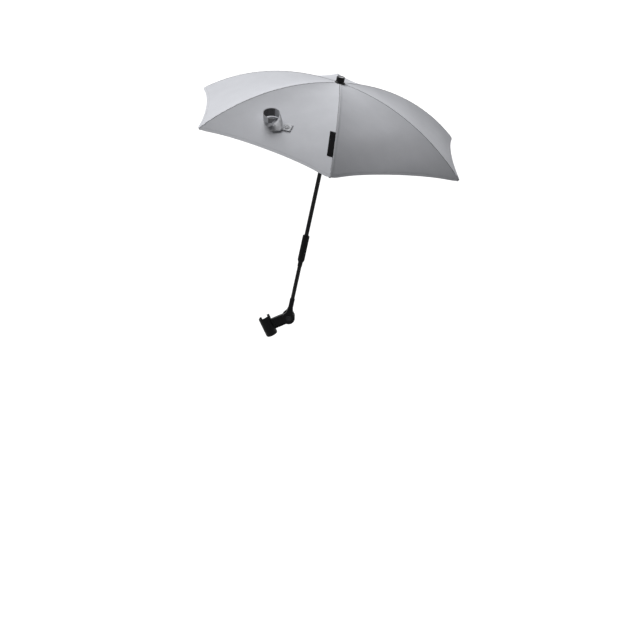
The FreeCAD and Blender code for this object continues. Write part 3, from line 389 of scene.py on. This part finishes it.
def new_piece(name, points, faces, material, sharp_angle=SHARP_ANGLE):
    """An object of its own from points and faces, smooth but for edges over the sharp angle."""
    mesh = bpy.data.meshes.new(name)
    mesh.from_pydata(points.tolist(), [], [[int(corner) for corner in face] for face in faces])
    mesh.validate()
    mesh.polygons.foreach_set("use_smooth", [True] * len(mesh.polygons))
    mesh.set_sharp_from_angle(angle=math.radians(sharp_angle))
    mesh.materials.append(material)
    piece = bpy.data.objects.new(name, mesh)
    bpy.context.scene.collection.objects.link(piece)
    return piece


def sewn_sheet(name, upper, lower, material):
    """A thin closed sheet between two grids of points, with its rim."""
    rows, columns = upper.shape[:2]
    index = np.arange(rows * columns).reshape(rows, columns)
    corners = [index[:-1, :-1], index[1:, :-1], index[1:, 1:], index[:-1, 1:]]
    top = np.stack(corners, axis=-1).reshape(-1, 4)
    under = top[:, ::-1] + rows * columns
    border = np.concatenate([index[0, :-1], index[:-1, -1], index[-1, :0:-1], index[:0:-1, 0]])
    onward = np.roll(border, -1)
    rim = np.stack([border, onward, onward + rows * columns, border + rows * columns], axis=-1)
    points = np.concatenate([upper.reshape(-1, 3), lower.reshape(-1, 3)])
    faces = np.concatenate([top, under, rim])
    return new_piece(name, points, faces, material)


def woven_cloth(name, dark, light, thread, depth):
    """Plain weave: crossed threads of a given spacing in metres, with soft patches of tone."""
    material, shader = start_material(name, 0.75)
    shader.inputs["Sheen Weight"].default_value = 0.03
    shader.inputs["Sheen Roughness"].default_value = 0.5
    shader.inputs["Specular IOR Level"].default_value = 0.1
    tones = noise(material, 26.0, detail=6.0, roughness=0.6)
    tint(material, tones, dark, light, shader.inputs["Base Color"])
    place = add_node(material, "ShaderNodeTexCoord")
    weave = add_node(material, "ShaderNodeMath")
    weave.operation = "MULTIPLY"
    pitch = math.pi / (WAVE_UNIT * thread)
    for direction, crossing in zip(("X", "Y"), weave.inputs):
        wave = add_node(material, "ShaderNodeTexWave", Scale=pitch, Distortion=0.4, Detail=1.0)
        wave.bands_direction = direction
        join(material, place.outputs["Object"], wave.inputs["Vector"])
        join(material, wave.outputs["Fac"], crossing)
    raise_grain(material, shader, weave.outputs["Value"], depth, strength=0.4)
    return material


canopy_cloth = woven_cloth("grey canopy cloth", (0.57, 0.58, 0.615), (0.60, 0.61, 0.645), 0.0007, 0.0001)

HALF_ROWS = 64
HALF_COLUMNS = 20
HEM_STEP = HEM_WIDTH / CLOTH_SPAN
HEM_BEFORE = 1.04
HEM_LINES = (0.94, 0.5, 0.08, 0)
hem_steps = 1 - HEM_STEP * np.array(HEM_LINES)
cloth_steps = np.concatenate([np.linspace(0, 1 - HEM_BEFORE * HEM_STEP, HALF_ROWS), hem_steps])


def cloth_grid(gore, shares, lift):
    """A grid of gore points from the crown's rim to the hem, one column for each share."""
    radius = CLOTH_HOLE + cloth_steps[:, None] * (hem_radius(shares) - CLOTH_HOLE)
    return gore_points(gore, radius, shares, lift)


def half_name(form, gore, side):
    return f"{form}_{gore + 1}_{'low' if side < 0 else 'high'}"


def half_gore(gore, side):
    """One half of a gore, side -1 at its own rib and 1 at the next, with a flap under the seam."""
    edge = seam_share(cloth_steps)[:, None]
    open_shares = edge * np.linspace(1, 0, HALF_COLUMNS)[None, :]
    flap_shares = np.concatenate([np.ones_like(edge), edge + FLAP_STEP], axis=1)
    shares = side * np.concatenate([flap_shares, open_shares], axis=1)
    flap = np.zeros(shares.shape, bool)
    flap[:, : flap_shares.shape[1]] = True
    turned = ((cloth_steps > 1 - HEM_STEP)[:, None] & ~flap) * HEM_FOLD
    upper = cloth_grid(gore, shares, np.where(flap, FLAP_THICKNESS, CLOTH_THICKNESS))
    lower = cloth_grid(gore, shares, -turned)
    if side > 0:
        upper, lower = upper[:, ::-1], lower[:, ::-1]
    return sewn_sheet(half_name("half_gore", gore, side), upper, lower, canopy_cloth)


# The halves ride with their ribs. The numbers below set a fold axis that leans off the rib a little,
# but it is not applied to the halves.

FOLD_LEAN = math.radians(-12.378)
FOLD_KEEP = 0.2413
FOLD_INSET = -0.047515
FOLD_SKEW = 0.05934
RIB_SPAN = 0.350
RIB_DROP = 0.124


def fold_with_rib(piece, rib, side, keep=FOLD_KEEP, pin=None):
    """The piece rides a rib: side 1 lies before the rib, -1 after it. The fold axis and anchor worked out
    here from keep and pin are not applied, so the piece keeps its shape."""
    outward = rib_outs[rib]
    around = Vector((-outward.y, outward.x, 0)) * -side
    chord = (outward * RIB_SPAN - Vector((0, 0, RIB_DROP))).normalized()
    lifted = outward * -chord.z + Vector((0, 0, 1)) * chord.dot(outward)
    axis = around * math.cos(FOLD_LEAN) + lifted * math.sin(FOLD_LEAN) + chord * FOLD_SKEW
    axis.normalize()
    anchor = hinges[rib] + lifted * FOLD_INSET
    if pin is not None:
        anchor += axis * axis.dot(pin - anchor) * (FOLD_KEEP - keep) / (1 - keep)
    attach(piece, f"rib_{rib + 1}")
    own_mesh(piece)


# Thread: grey polyester, and a darker one round the strap's patch; a thick dark row in the seams' grooves
# is painted shadow. Its rows of short stitches are half sunk in the cloth, and the hem's row runs along its
# fold.

THREAD_RADIUS = 0.0003
STITCH_PITCH = 0.0036
STITCH_SHARE = 0.78
STITCH_SIDES = 6
STITCH_TAPER = 0.2
THREAD_ANGLE = 80.0
PROBE = 0.001
HEM_ROW = 0.0062


def sewing_thread(name, dark, light):
    """Twisted polyester thread."""
    material, shader = start_material(name, 0.6)
    tint(material, noise(material, 900.0, detail=2.0), dark, light, shader.inputs["Base Color"])
    return material


def unit(directions):
    return directions / np.linalg.norm(directions, axis=1, keepdims=True)


def stitch_row(name, starts, ends, outs, material, radius=THREAD_RADIUS):
    """One piece of thread for each start and end, a slim spindle lying on the cloth."""
    outs = unit(outs)
    along = ends - starts
    aside = unit(np.cross(outs, along))
    turns = 2 * math.pi * np.arange(STITCH_SIDES) / STITCH_SIDES
    ring = radius * (
        np.cos(turns)[None, :, None] * outs[:, None, :] + np.sin(turns)[None, :, None] * aside[:, None, :]
    )
    near = starts[:, None, :] + STITCH_TAPER * along[:, None, :] + ring
    far = starts[:, None, :] + (1 - STITCH_TAPER) * along[:, None, :] + ring
    points = np.concatenate([starts[:, None, :], near, far, ends[:, None, :]], axis=1)
    faces = []
    size = 2 * STITCH_SIDES + 2
    for stitch in range(len(starts)):
        first = stitch * size
        for side in range(STITCH_SIDES):
            one = first + 1 + side
            two = first + 1 + (side + 1) % STITCH_SIDES
            faces.append((first, two, one))
            faces.append((one, two, two + STITCH_SIDES, one + STITCH_SIDES))
            faces.append((one + STITCH_SIDES, two + STITCH_SIDES, first + size - 1))
    return new_piece(name, points.reshape(-1, 3), faces, material, THREAD_ANGLE)


def lift_off(gore, radius, share, lift):
    """Directions straight off the cloth."""
    return gore_points(gore, radius, share, lift + PROBE) - gore_points(gore, radius, share, lift)


cloth_thread = sewing_thread("grey thread", (0.40, 0.41, 0.44), (0.50, 0.51, 0.54))
dark_and_shadow_thread = sewing_thread("dark thread and painted seam shadow", (0.05, 0.05, 0.055), (0.10, 0.10, 0.105))


def hem_stitches(gore, side):
    """The row along one half gore's hem, from the seam to the gore's middle."""
    count = int(HALF_WIDTH / STITCH_PITCH)
    shares = side * np.linspace(seam_share(1.0), 0.0, count + 1)
    first = shares[:-1]
    last = first + STITCH_SHARE * (shares[1:] - first)
    starts, ends = (
        gore_points(gore, hem_radius(share) - HEM_ROW, share, CLOTH_THICKNESS) for share in (first, last)
    )
    outs = lift_off(gore, hem_radius(first) - HEM_ROW, first, CLOTH_THICKNESS)
    return stitch_row(half_name("hem_thread", gore, side), starts, ends, outs, cloth_thread)


for gore in range(RIB_COUNT):
    for side in (-1, 1):
        cloth = half_gore(gore, side)
        thread = hem_stitches(gore, side)
        rib = gore if side < 0 else (gore + 1) % RIB_COUNT
        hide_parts(f"canopy_gore_{gore + 1}")
        for piece in (cloth, thread):
            fold_with_rib(piece, rib, side)

# Seams: over each rib one gore's edge is folded over the other's and sewn down, which leaves a narrow
# raised band with a sewn groove beside its fold, on the front side of the left and right ribs. The seam
# stays tight on the rib in every pose. A doubled cloth pocket at each corner takes the rib's blunt tip.

# The steps are shares of the seam's half width, from one side to the other, with the rise at each.
SEAM_STEPS = np.array([-100, -54, -19, -15, -11, -7, -3, -1, 4.5, 27, 52, 59, 65, 100]) / 100
SEAM_RISE = 0.0001
SEAM_LIFTS = SEAM_RISE * np.array([0, 0, 0, 0, -4, -5, -4, 2, 3, 3, 3, 1, 0, 0])
SEAM_FOLDS = (1, 1, 1, -1, -1, -1)
SEAM_UNDER = 0.00025
SHADOW_THREAD_RADIUS = 1.8 * THREAD_RADIUS
# The dark row is painted shadow: thick dark thread laid in each groove where the fold's shadow falls.
SEAM_ROWS = (
    ("dark", dark_and_shadow_thread, SHADOW_THREAD_RADIUS, -0.07, -0.0003),
    ("cloth", cloth_thread, THREAD_RADIUS, 0.45, 0.00025),
)
SEAM_FIRST = 0.020
SEAM_LAST = 0.362
RIB_SWEEP = 2 * math.atan2(RIB_DROP, RIB_SPAN)
POCKET_PROFILE = (
    (0.0, 0.0052), (0.0016, 0.0050), (0.0030, 0.0040), (0.0037, 0.0024), (0.0039, 0.0), (0.0039, -0.0080),
    (0.0041, -0.0140), (0.0036, -0.0142), (0.0033, -0.0080), (0.0033, 0.0), (0.0030, 0.0030), (0.0, 0.0042),
)
POCKET_SIDES = 20
POCKET_ANGLE = 40.0


def seam_spot(rib, edge, step):
    """The gore and share of a place on a rib's seam, step from -1 to 1 across it."""
    share = 1 - abs(step) * (1 - edge)
    return (rib, -share) if step > 0 else ((rib - 1) % RIB_COUNT, share)


def seam_grid(rib, lifts):
    """Points of a rib's seam from the crown's rim to the hem, one column for each step across it."""
    fold = SEAM_FOLDS[rib]
    edge = seam_share(cloth_steps)[:, None]
    columns = []
    for step, lift in zip(fold * SEAM_STEPS[::fold], lifts[::fold]):
        columns.append(cloth_grid(*seam_spot(rib, edge, step), lift))
    return np.concatenate(columns, axis=1)


def seam_line(rib, radius, step):
    """Gore, radius and share of places along a rib's seam, at one step across it."""
    edge = seam_share((radius - CLOTH_HOLE) / CLOTH_SPAN)
    gore, share = seam_spot(rib, edge, step * SEAM_FOLDS[rib])
    return gore, radius, share


def seam_stitches(kind, rib, material, radius, step, lift):
    """One row along a rib's seam, from near the crown to near the tip."""
    first = np.arange(SEAM_FIRST, SEAM_LAST, STITCH_PITCH)
    last = first + STITCH_SHARE * STITCH_PITCH
    starts, ends = (
        gore_points(*seam_line(rib, reach, step), CLOTH_THICKNESS + lift) for reach in (first, last)
    )
    outs = lift_off(*seam_line(rib, first, step), CLOTH_THICKNESS)
    return stitch_row(f"seam_thread_{kind}_{rib + 1}", starts, ends, outs, material, radius)


def placed(points, place):
    """Points of a piece's own frame in the row frame."""
    return points @ np.array(place.to_3x3()).T + np.array(place.translation)


def turned_form(name, profile, place, material, sides, sharp_angle):
    """A round form from a profile of (radius, height) that starts and ends on the axis, at a placement."""
    turns = 2 * math.pi * np.arange(sides) / sides
    circle = np.stack([np.cos(turns), np.sin(turns), np.zeros(sides)], axis=1)
    rings = [radius * circle + np.array([0, 0, height]) for radius, height in profile[1:-1]]
    points = np.concatenate([[[0, 0, profile[0][1]]], *rings, [[0, 0, profile[-1][1]]]])
    faces = []
    last = len(points) - 1
    for side in range(sides):
        onward = (side + 1) % sides
        faces.append((0, 1 + side, 1 + onward))
        for ring in range(len(rings) - 1):
            base = 1 + ring * sides
            faces.append((base + side, base + sides + side, base + sides + onward, base + onward))
        faces.append((last, last - sides + onward, last - sides + side))
    return new_piece(name, placed(points, place), faces, material, sharp_angle)


def tip_pocket(rib):
    """A round cap of cloth over a rib's tip, along the rib's end."""
    along = rib_outs[rib] * math.cos(RIB_SWEEP) - Vector((0, 0, math.sin(RIB_SWEEP)))
    tip = hinges[rib] + rib_outs[rib] * RIB_SPAN - Vector((0, 0, RIB_DROP))
    place = Matrix.Translation(tip) @ along.to_track_quat("Z", "Y").to_matrix().to_4x4()
    name = f"tip_pocket_{rib + 1}"
    return turned_form(name, POCKET_PROFILE, place, canopy_cloth, POCKET_SIDES, POCKET_ANGLE)


for rib in range(RIB_COUNT):
    upper = seam_grid(rib, CLOTH_THICKNESS + SEAM_LIFTS)
    lower = seam_grid(rib, [SEAM_UNDER] * len(SEAM_STEPS))
    seam = sewn_sheet(f"rib_seam_{rib + 1}", upper, lower, canopy_cloth)
    rows = [seam_stitches(kind, rib, *row) for kind, *row in SEAM_ROWS]
    pocket = tip_pocket(rib)
    for piece in (seam, pocket, *rows):
        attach(piece, f"rib_{rib + 1}")

# Closing strap: a grey tape whose turned end is sewn on the front gore by a square patch with a ring
# snap. Its free part folds back beside the patch, rises off the cloth and is rolled up in a standing
# curl. A hook patch lines the inside of the curl, and a loop patch the outside of its free end; the
# loop patch's darker grey is painted shade on the curl's front wall.

STRAP_GORE = RIB_COUNT - 1
STRAP_REACH = 0.249
STRAP_START = -0.0047
STRAP_TURN = math.radians(12.6)
STRAP_WIDTH = 0.0225
STRAP_THICKNESS = 0.0011
STRAP_SAMPLES = 8
PROBE_SHARE = 0.005
STRAP_ACROSS = (-1.0, -0.96, -0.84, -0.72, -0.3, 0.3, 0.72, 0.84, 0.96, 1.0)
STRAP_EDGE = (0.35, 0.95, 1.15, 1.0, 1.0, 1.0, 1.0, 1.15, 0.95, 0.35)
PATCH_LENGTH = 0.025
LOWER_LAYER = 0.0007
UPPER_LAYER = 0.0020
PATCH_STOPS = (
    (0.2, UPPER_LAYER), (0.5, UPPER_LAYER), (0.95, UPPER_LAYER), (1.0, (UPPER_LAYER + LOWER_LAYER) / 2),
    (0.95, LOWER_LAYER), (0.5, LOWER_LAYER), (-0.24, LOWER_LAYER),
)
FOOT_TURN = math.radians(123.4)
# Each stop is a place off the strap's start, in metres, and the tape's twist there, in degrees.
FOOT_STOPS = (
    (0.0145, -0.0042, 0.0019, 0), (0.0180, -0.0028, 0.0019, 0), (0.0196, -0.0021, 0.0026, 0),
    (0.0180, -0.0028, 0.0033, 0), (0.0100, -0.0050, 0.0048, 10), (0.0020, -0.0076, 0.0074, 26),
    (-0.0060, -0.0108, 0.0104, 48), (-0.0140, -0.0148, 0.0126, 70),
)
CURL_CENTRE = np.array([-0.0046, -0.0307, 0.0165])
CURL_LEAN = 0.2
CURL_RADIUS = 0.021
CURL_TIGHTEN = 0.0025
CURL_SINK = 0.0035
CURL_UPRIGHT = 0.5
CURL_TUCK = math.radians(38)
CURL_TURNS = np.radians(np.arange(60, 331, 18))
HOOK_TURNS = (2, 9)
# Turns of the curl under the hook patch, and under the loop patch whose darker grey is painted shade.
LOOP_AND_SHADE_TURNS = (12, 15)
CURL_KEEP = 0.12


def smooth_route(corners, samples):
    """A smooth line through the corners, in equal shares between each two."""
    spots = np.array(corners)
    before = np.concatenate([[2 * spots[0] - spots[1]], spots[:-1]])
    after = np.concatenate([spots[1:], [2 * spots[-1] - spots[-2]]])
    slopes = (after - before) / 2
    line = []
    for i in range(len(spots) - 1):
        for step in np.arange(samples) / samples:
            square, cube = step**2, step**3
            line.append(
                (2 * cube - 3 * square + 1) * spots[i]
                + (cube - 2 * square + step) * slopes[i]
                + (3 * square - 2 * cube) * spots[i + 1]
                + (cube - square) * slopes[i + 1]
            )
    return np.array([*line, spots[-1]])


def cloth_place(gore, reach, across):
    """A placement on a gore's outer face: X to the hem, Y round the canopy, Z off the cloth."""
    radius = reach / math.cos(HALF_GORE)
    share = across / (radius * math.sin(HALF_GORE))
    spot = gore_points(gore, radius, share, CLOTH_THICKNESS)
    downhill = gore_points(gore, radius + PROBE, share, CLOTH_THICKNESS) - spot
    around = gore_points(gore, radius, share + PROBE_SHARE, CLOTH_THICKNESS) - spot
    off = Vector(np.cross(downhill, around)).normalized()
    hemward = Vector(downhill).normalized()
    turn = Matrix((hemward, off.cross(hemward), off)).transposed().to_4x4()
    return Matrix.Translation(Vector(spot)) @ turn


def patch_stop(share, height):
    """A place on the sewn patch and the direction of the tape's width there."""
    along = share * PATCH_LENGTH
    across = (math.cos(STRAP_TURN), math.sin(STRAP_TURN))
    return (-along * across[1], along * across[0], height, *across, 0)


def foot_stop(x, y, z, twist):
    """A place where the tape rises, twisting from its flat foot to the curl's upright."""
    flat = np.array([math.cos(FOOT_TURN), math.sin(FOOT_TURN), 0])
    turn = math.radians(twist)
    return (x, y, z, *(math.cos(turn) * flat + math.sin(turn) * curl_axis))


def curl_stop(turn):
    """A place on the curl, which winds inward and downward to its free end and leans in there."""
    share = (turn - CURL_TURNS[0]) / (CURL_TURNS[-1] - CURL_TURNS[0])
    out = math.cos(turn) * curl_side + math.sin(turn) * curl_back
    tuck = CURL_TUCK * max(0.0, share - CURL_UPRIGHT) / (1 - CURL_UPRIGHT)
    inset = CURL_TIGHTEN * share + math.sin(tuck) * STRAP_WIDTH / 2
    sunk = CURL_CENTRE - CURL_SINK * share**2 * curl_axis
    wide = math.cos(tuck) * curl_axis + math.sin(tuck) * out
    return (*(sunk + (CURL_RADIUS - inset) * out), *wide)


def lay_tape(stops):
    """Middle line, width and face directions of a tape laid through its stops."""
    route = smooth_route(stops, STRAP_SAMPLES)
    line = route[:, :3]
    run = unit(np.gradient(line, axis=0))
    wide = unit(route[:, 3:] - run * np.sum(run * route[:, 3:], axis=1, keepdims=True))
    return line, wide, np.cross(run, wide)


def tape_grid(tape, heights, widths):
    """Points on a tape, one column for each height off its middle and share of its half width."""
    line, wide, face = tape
    columns = [line + face * h + wide * w * STRAP_WIDTH / 2 for h, w in zip(heights, widths)]
    return placed(np.stack(columns, axis=1), strap_place)


def tape_piece(name, tape):
    """The strap's woven tape, thicker beside its edges."""
    heights = np.array(STRAP_EDGE) * STRAP_THICKNESS / 2
    upper = tape_grid(tape, heights, STRAP_ACROSS)
    return sewn_sheet(name, upper, tape_grid(tape, -heights, STRAP_ACROSS), strap_tape)


strap_place = cloth_place(STRAP_GORE, STRAP_REACH, STRAP_START)
strap_tape = woven_cloth("grey strap tape", (0.63, 0.64, 0.67), (0.69, 0.70, 0.73), 0.0011, 0.0002)
curl_axis = np.array([-CURL_LEAN, 0, math.sqrt(1 - CURL_LEAN**2)])
curl_side = np.array([0, 1, 0])
curl_back = np.cross(curl_axis, curl_side)
patch_tape = lay_tape([patch_stop(*stop) for stop in PATCH_STOPS])
foot_stops = [foot_stop(*stop) for stop in FOOT_STOPS]
curl_tape = lay_tape([*foot_stops, *(curl_stop(turn) for turn in CURL_TURNS)])
strap = tape_piece("strap_band", patch_tape)
curl = tape_piece("strap_curl", curl_tape)

HOOK_HEIGHT = 0.0009
HOOK_ACROSS = (-0.9, -0.86, 0.86, 0.9)
HOOK_EDGE = (0.6, 1.0, 1.0, 0.6)


def fastening_tape(name, dark, light):
    """Hook or loop tape: a dull nap of fine upright fibres."""
    material, shader = start_material(name, 0.9)
    shader.inputs["Specular IOR Level"].default_value = 0.05
    tint(material, noise(material, 500.0, detail=2.0), dark, light, shader.inputs["Base Color"])
    raise_grain(material, shader, noise(material, 2200.0, detail=1.0), depth=0.0006)
    return material


def curl_patch(name, turns, face, material):
    """A patch along some of the curl's turns, on its outer face, 1, or its inner face, -1."""
    rows = slice(*((len(FOOT_STOPS) + turn) * STRAP_SAMPLES for turn in turns))
    stretch = [part[rows] for part in curl_tape]
    base = np.full(len(HOOK_ACROSS), face * STRAP_THICKNESS / 2)
    raised = base + face * HOOK_HEIGHT * np.array(HOOK_EDGE)
    sides = [tape_grid(stretch, heights, HOOK_ACROSS) for heights in (base, raised)]
    return sewn_sheet(name, *sides[::-face], material)


hook_tape = fastening_tape("dark hook tape", (0.12, 0.12, 0.125), (0.21, 0.21, 0.218))
# The loop patch is loop tape whose darker grey is painted shade on the curl's shaded front wall.
loop_and_shade_tape = fastening_tape("grey loop tape with painted shade", (0.22, 0.22, 0.23), (0.28, 0.28, 0.29))
hook = curl_patch("strap_hook_patch", HOOK_TURNS, -1, hook_tape)
loop = curl_patch("strap_loop_patch_and_painted_shade", LOOP_AND_SHADE_TURNS, 1, loop_and_shade_tape)

PATCH_INSET = 0.0022
PATCH_NEAR = 0.0060
PATCH_FAR = 0.0230
PATCH_PITCH = 0.7 * STITCH_PITCH
PATCH_TOP = UPPER_LAYER + STRAP_THICKNESS / 2
patch_place = strap_place @ Matrix.Rotation(STRAP_TURN, 4, "Z")


def patch_stitches():
    """A square of stitches round the patch, through the tape's turned end and the cloth."""
    side = STRAP_WIDTH / 2 - PATCH_INSET
    corners = [(-side, PATCH_NEAR), (side, PATCH_NEAR), (side, PATCH_FAR), (-side, PATCH_FAR)]
    starts, ends = [], []
    for corner in range(len(corners)):
        here = np.array(corners[corner])
        there = np.array(corners[(corner + 1) % len(corners)])
        count = int(np.linalg.norm(there - here) / PATCH_PITCH)
        for step in range(count):
            starts.append(here + (there - here) * step / count)
            ends.append(here + (there - here) * (step + STITCH_SHARE) / count)
    lines = []
    for spots in (starts, ends):
        lines.append(placed(np.column_stack([spots, np.full(len(spots), PATCH_TOP)]), patch_place))
    outs = np.tile(np.array(patch_place.col[2][:3]), (len(starts), 1))
    return stitch_row("strap_patch_thread", *lines, outs, dark_and_shadow_thread)


SNAP_ACROSS = 0.0145
SNAP_SIDES = 32
SNAP_ANGLE = 30.0
SNAP_PROFILE = (
    (0.0, 0.0009), (0.0024, 0.0008), (0.0031, 0.0004), (0.0036, 0.0004), (0.0042, 0.0012), (0.0051, 0.0013),
    (0.0058, 0.0009), (0.0060, 0.0001), (0.0, 0.0),
)
snap_metal, snap_shader = start_material("painted grey snap", 0.5)
snap_shader.inputs["Specular IOR Level"].default_value = 0.25
snap_bloom = noise(snap_metal, 300.0)
tint(snap_metal, snap_bloom, (0.36, 0.37, 0.39), (0.44, 0.45, 0.47), snap_shader.inputs["Base Color"])
snap_place = patch_place @ Matrix.Translation((0, SNAP_ACROSS, PATCH_TOP))
snap = turned_form("strap_ring_snap", SNAP_PROFILE, snap_place, snap_metal, SNAP_SIDES, SNAP_ANGLE)
patch_thread = patch_stitches()

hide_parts("closing_strap")
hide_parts("closing_strap")
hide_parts("strap_snap")
for piece in (strap, patch_thread, snap):
    fold_with_rib(piece, 0, 1)
foot_pin = strap_place @ Vector(FOOT_STOPS[0][:3])
for piece in (curl, hook, loop):
    fold_with_rib(piece, 0, 1, CURL_KEEP, foot_pin)

# Seam tab: a bare black woven tape, doubled and caught in the front rib's seam. It lies flat on the
# cloth beside the seam, and its woven edges are a little thinner than its middle.

TAB_FROM = 0.252
TAB_TO = 0.322
TAB_INSET = 0.0010
TAB_WIDTH = 0.016
TAB_THICKNESS = 0.0010
TAB_LIFT = 0.0001
TAB_ROWS = 30
TAB_ACROSS = (0.0, 0.03, 0.12, 0.5, 0.88, 0.97, 1.0)
TAB_EDGE = (0.4, 0.9, 1.0, 1.0, 1.0, 0.9, 0.4)

tab_tape = woven_cloth("black tab tape", (0.004, 0.004, 0.0045), (0.007, 0.007, 0.0075), 0.0009, 0.0002)
tab_shader = tab_tape.node_tree.nodes["Principled BSDF"]
tab_shader.inputs["Sheen Weight"].default_value = 0.0
tab_shader.inputs["Specular IOR Level"].default_value = 0.02


def tab_grid(shares):
    """Points on the tab, one column for each share of its thickness."""
    radius = np.linspace(TAB_FROM, TAB_TO, TAB_ROWS)
    columns = []
    for across, share in zip(TAB_ACROSS, shares):
        place = 1 - (TAB_INSET + TAB_WIDTH * across) / (radius * math.sin(HALF_GORE))
        lift = CLOTH_THICKNESS + TAB_LIFT + TAB_THICKNESS * share
        columns.append(gore_points(STRAP_GORE, radius, place, lift))
    return np.stack(columns[::-1], axis=1)


tab_top = tab_grid(TAB_EDGE)
tab = sewn_sheet("bare_seam_tab", tab_top, tab_grid([0.0] * len(TAB_EDGE)), tab_tape)
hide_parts("seam_tab")
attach(tab, "rib_1")

# Studio: a pale floor well below the clip, one wide soft lamp overhead, slightly behind and to the
# left, and a dim white surround.

FLOOR_DROP = 0.62
FLOOR_SIZE = 60.0
LAMP_DIRECTION = (-0.41, 0.475, 0.778)
LAMP_STRENGTH = 3.75
LAMP_ANGLE = 45.0
SURROUND = 0.03
FLOOR_GREY = (0.3, 0.3, 0.3, 1.0)
FLOOR_GLOW = 0.8
WHITE = (1.0, 1.0, 1.0, 1.0)

scene = bpy.context.scene
scene.view_settings.view_transform = "Standard"


def seen_directly(material):
    """1 for what the camera sees straight, mirrored or through glass, and 0 for light on the object."""
    path = add_node(material, "ShaderNodeLightPath")
    total = path.outputs["Is Camera Ray"]
    for name in ("Is Glossy Ray", "Is Transmission Ray"):
        either = add_node(material, "ShaderNodeMath")
        either.operation = "MAXIMUM"
        join(material, total, either.inputs[0])
        join(material, path.outputs[name], either.inputs[1])
        total = either.outputs["Value"]
    return total


floor_paint, floor_shader = start_material("pale floor", 0.9)
floor_shader.inputs["Base Color"].default_value = FLOOR_GREY
floor_shader.inputs["Emission Color"].default_value = WHITE
glow = add_node(floor_paint, "ShaderNodeMath")
glow.operation = "MULTIPLY"
glow.inputs[1].default_value = FLOOR_GLOW
join(floor_paint, seen_directly(floor_paint), glow.inputs[0])
join(floor_paint, glow.outputs["Value"], floor_shader.inputs["Emission Strength"])
half_floor = FLOOR_SIZE / 2
floor_turns = ((-1, -1), (1, -1), (1, 1), (-1, 1))
floor_corners = np.array([(x * half_floor, y * half_floor, -FLOOR_DROP) for x, y in floor_turns])
floor = new_piece("floor", floor_corners, [[0, 1, 2, 3]], floor_paint)

lamp = bpy.data.lights.new("overhead lamp", "SUN")
lamp.energy = LAMP_STRENGTH
lamp.angle = math.radians(LAMP_ANGLE)
lamp_stand = bpy.data.objects.new("overhead lamp", lamp)
lamp_stand.rotation_euler = Vector(LAMP_DIRECTION).to_track_quat("Z", "Y").to_euler()
scene.collection.objects.link(lamp_stand)

world = bpy.data.worlds.new("white surround")
world.use_nodes = True
scene.world = world
surround = world.node_tree.nodes["Background"]
surround.inputs["Color"].default_value = WHITE
brightness = add_node(world, "ShaderNodeMapRange", To_Min=SURROUND, To_Max=1.0)
join(world, seen_directly(world), brightness.inputs["Value"])
join(world, brightness.outputs["Result"], surround.inputs["Strength"])

# Camera: a long lens from the front and a little above, rolled so that the pole leans to the right.
# It aims at the middle of the picture, below the parasol.

CAMERA_AZIMUTH = math.radians(-4.606)
CAMERA_HEIGHT = math.radians(19.877)
CAMERA_ROLL = math.radians(-12.594)
CAMERA_DISTANCE = 6.5
CAMERA_AIM = Vector((0.12568, 0.0, 0.0415))
CAMERA_LENS = 144.64
CAMERA_SENSOR = 36.0
CAMERA_FAR = 100.0

level = Vector((math.cos(CAMERA_AZIMUTH), math.sin(CAMERA_AZIMUTH), 0))
ahead = Vector((-level.y, level.x, 0)) * math.cos(CAMERA_HEIGHT) - Vector((0, 0, math.sin(CAMERA_HEIGHT)))
upward = level.cross(ahead)
right = level * math.cos(CAMERA_ROLL) - upward * math.sin(CAMERA_ROLL)
top = level * math.sin(CAMERA_ROLL) + upward * math.cos(CAMERA_ROLL)
camera_data = bpy.data.cameras.new("camera")
camera_data.lens = CAMERA_LENS
camera_data.sensor_width = CAMERA_SENSOR
camera_data.clip_end = CAMERA_FAR
camera = bpy.data.objects.new("camera", camera_data)
turn = Matrix((right, top, -ahead)).transposed().to_4x4()
camera.matrix_world = Matrix.Translation(CAMERA_AIM - ahead * CAMERA_DISTANCE) @ turn
scene.collection.objects.link(camera)
scene.camera = camera
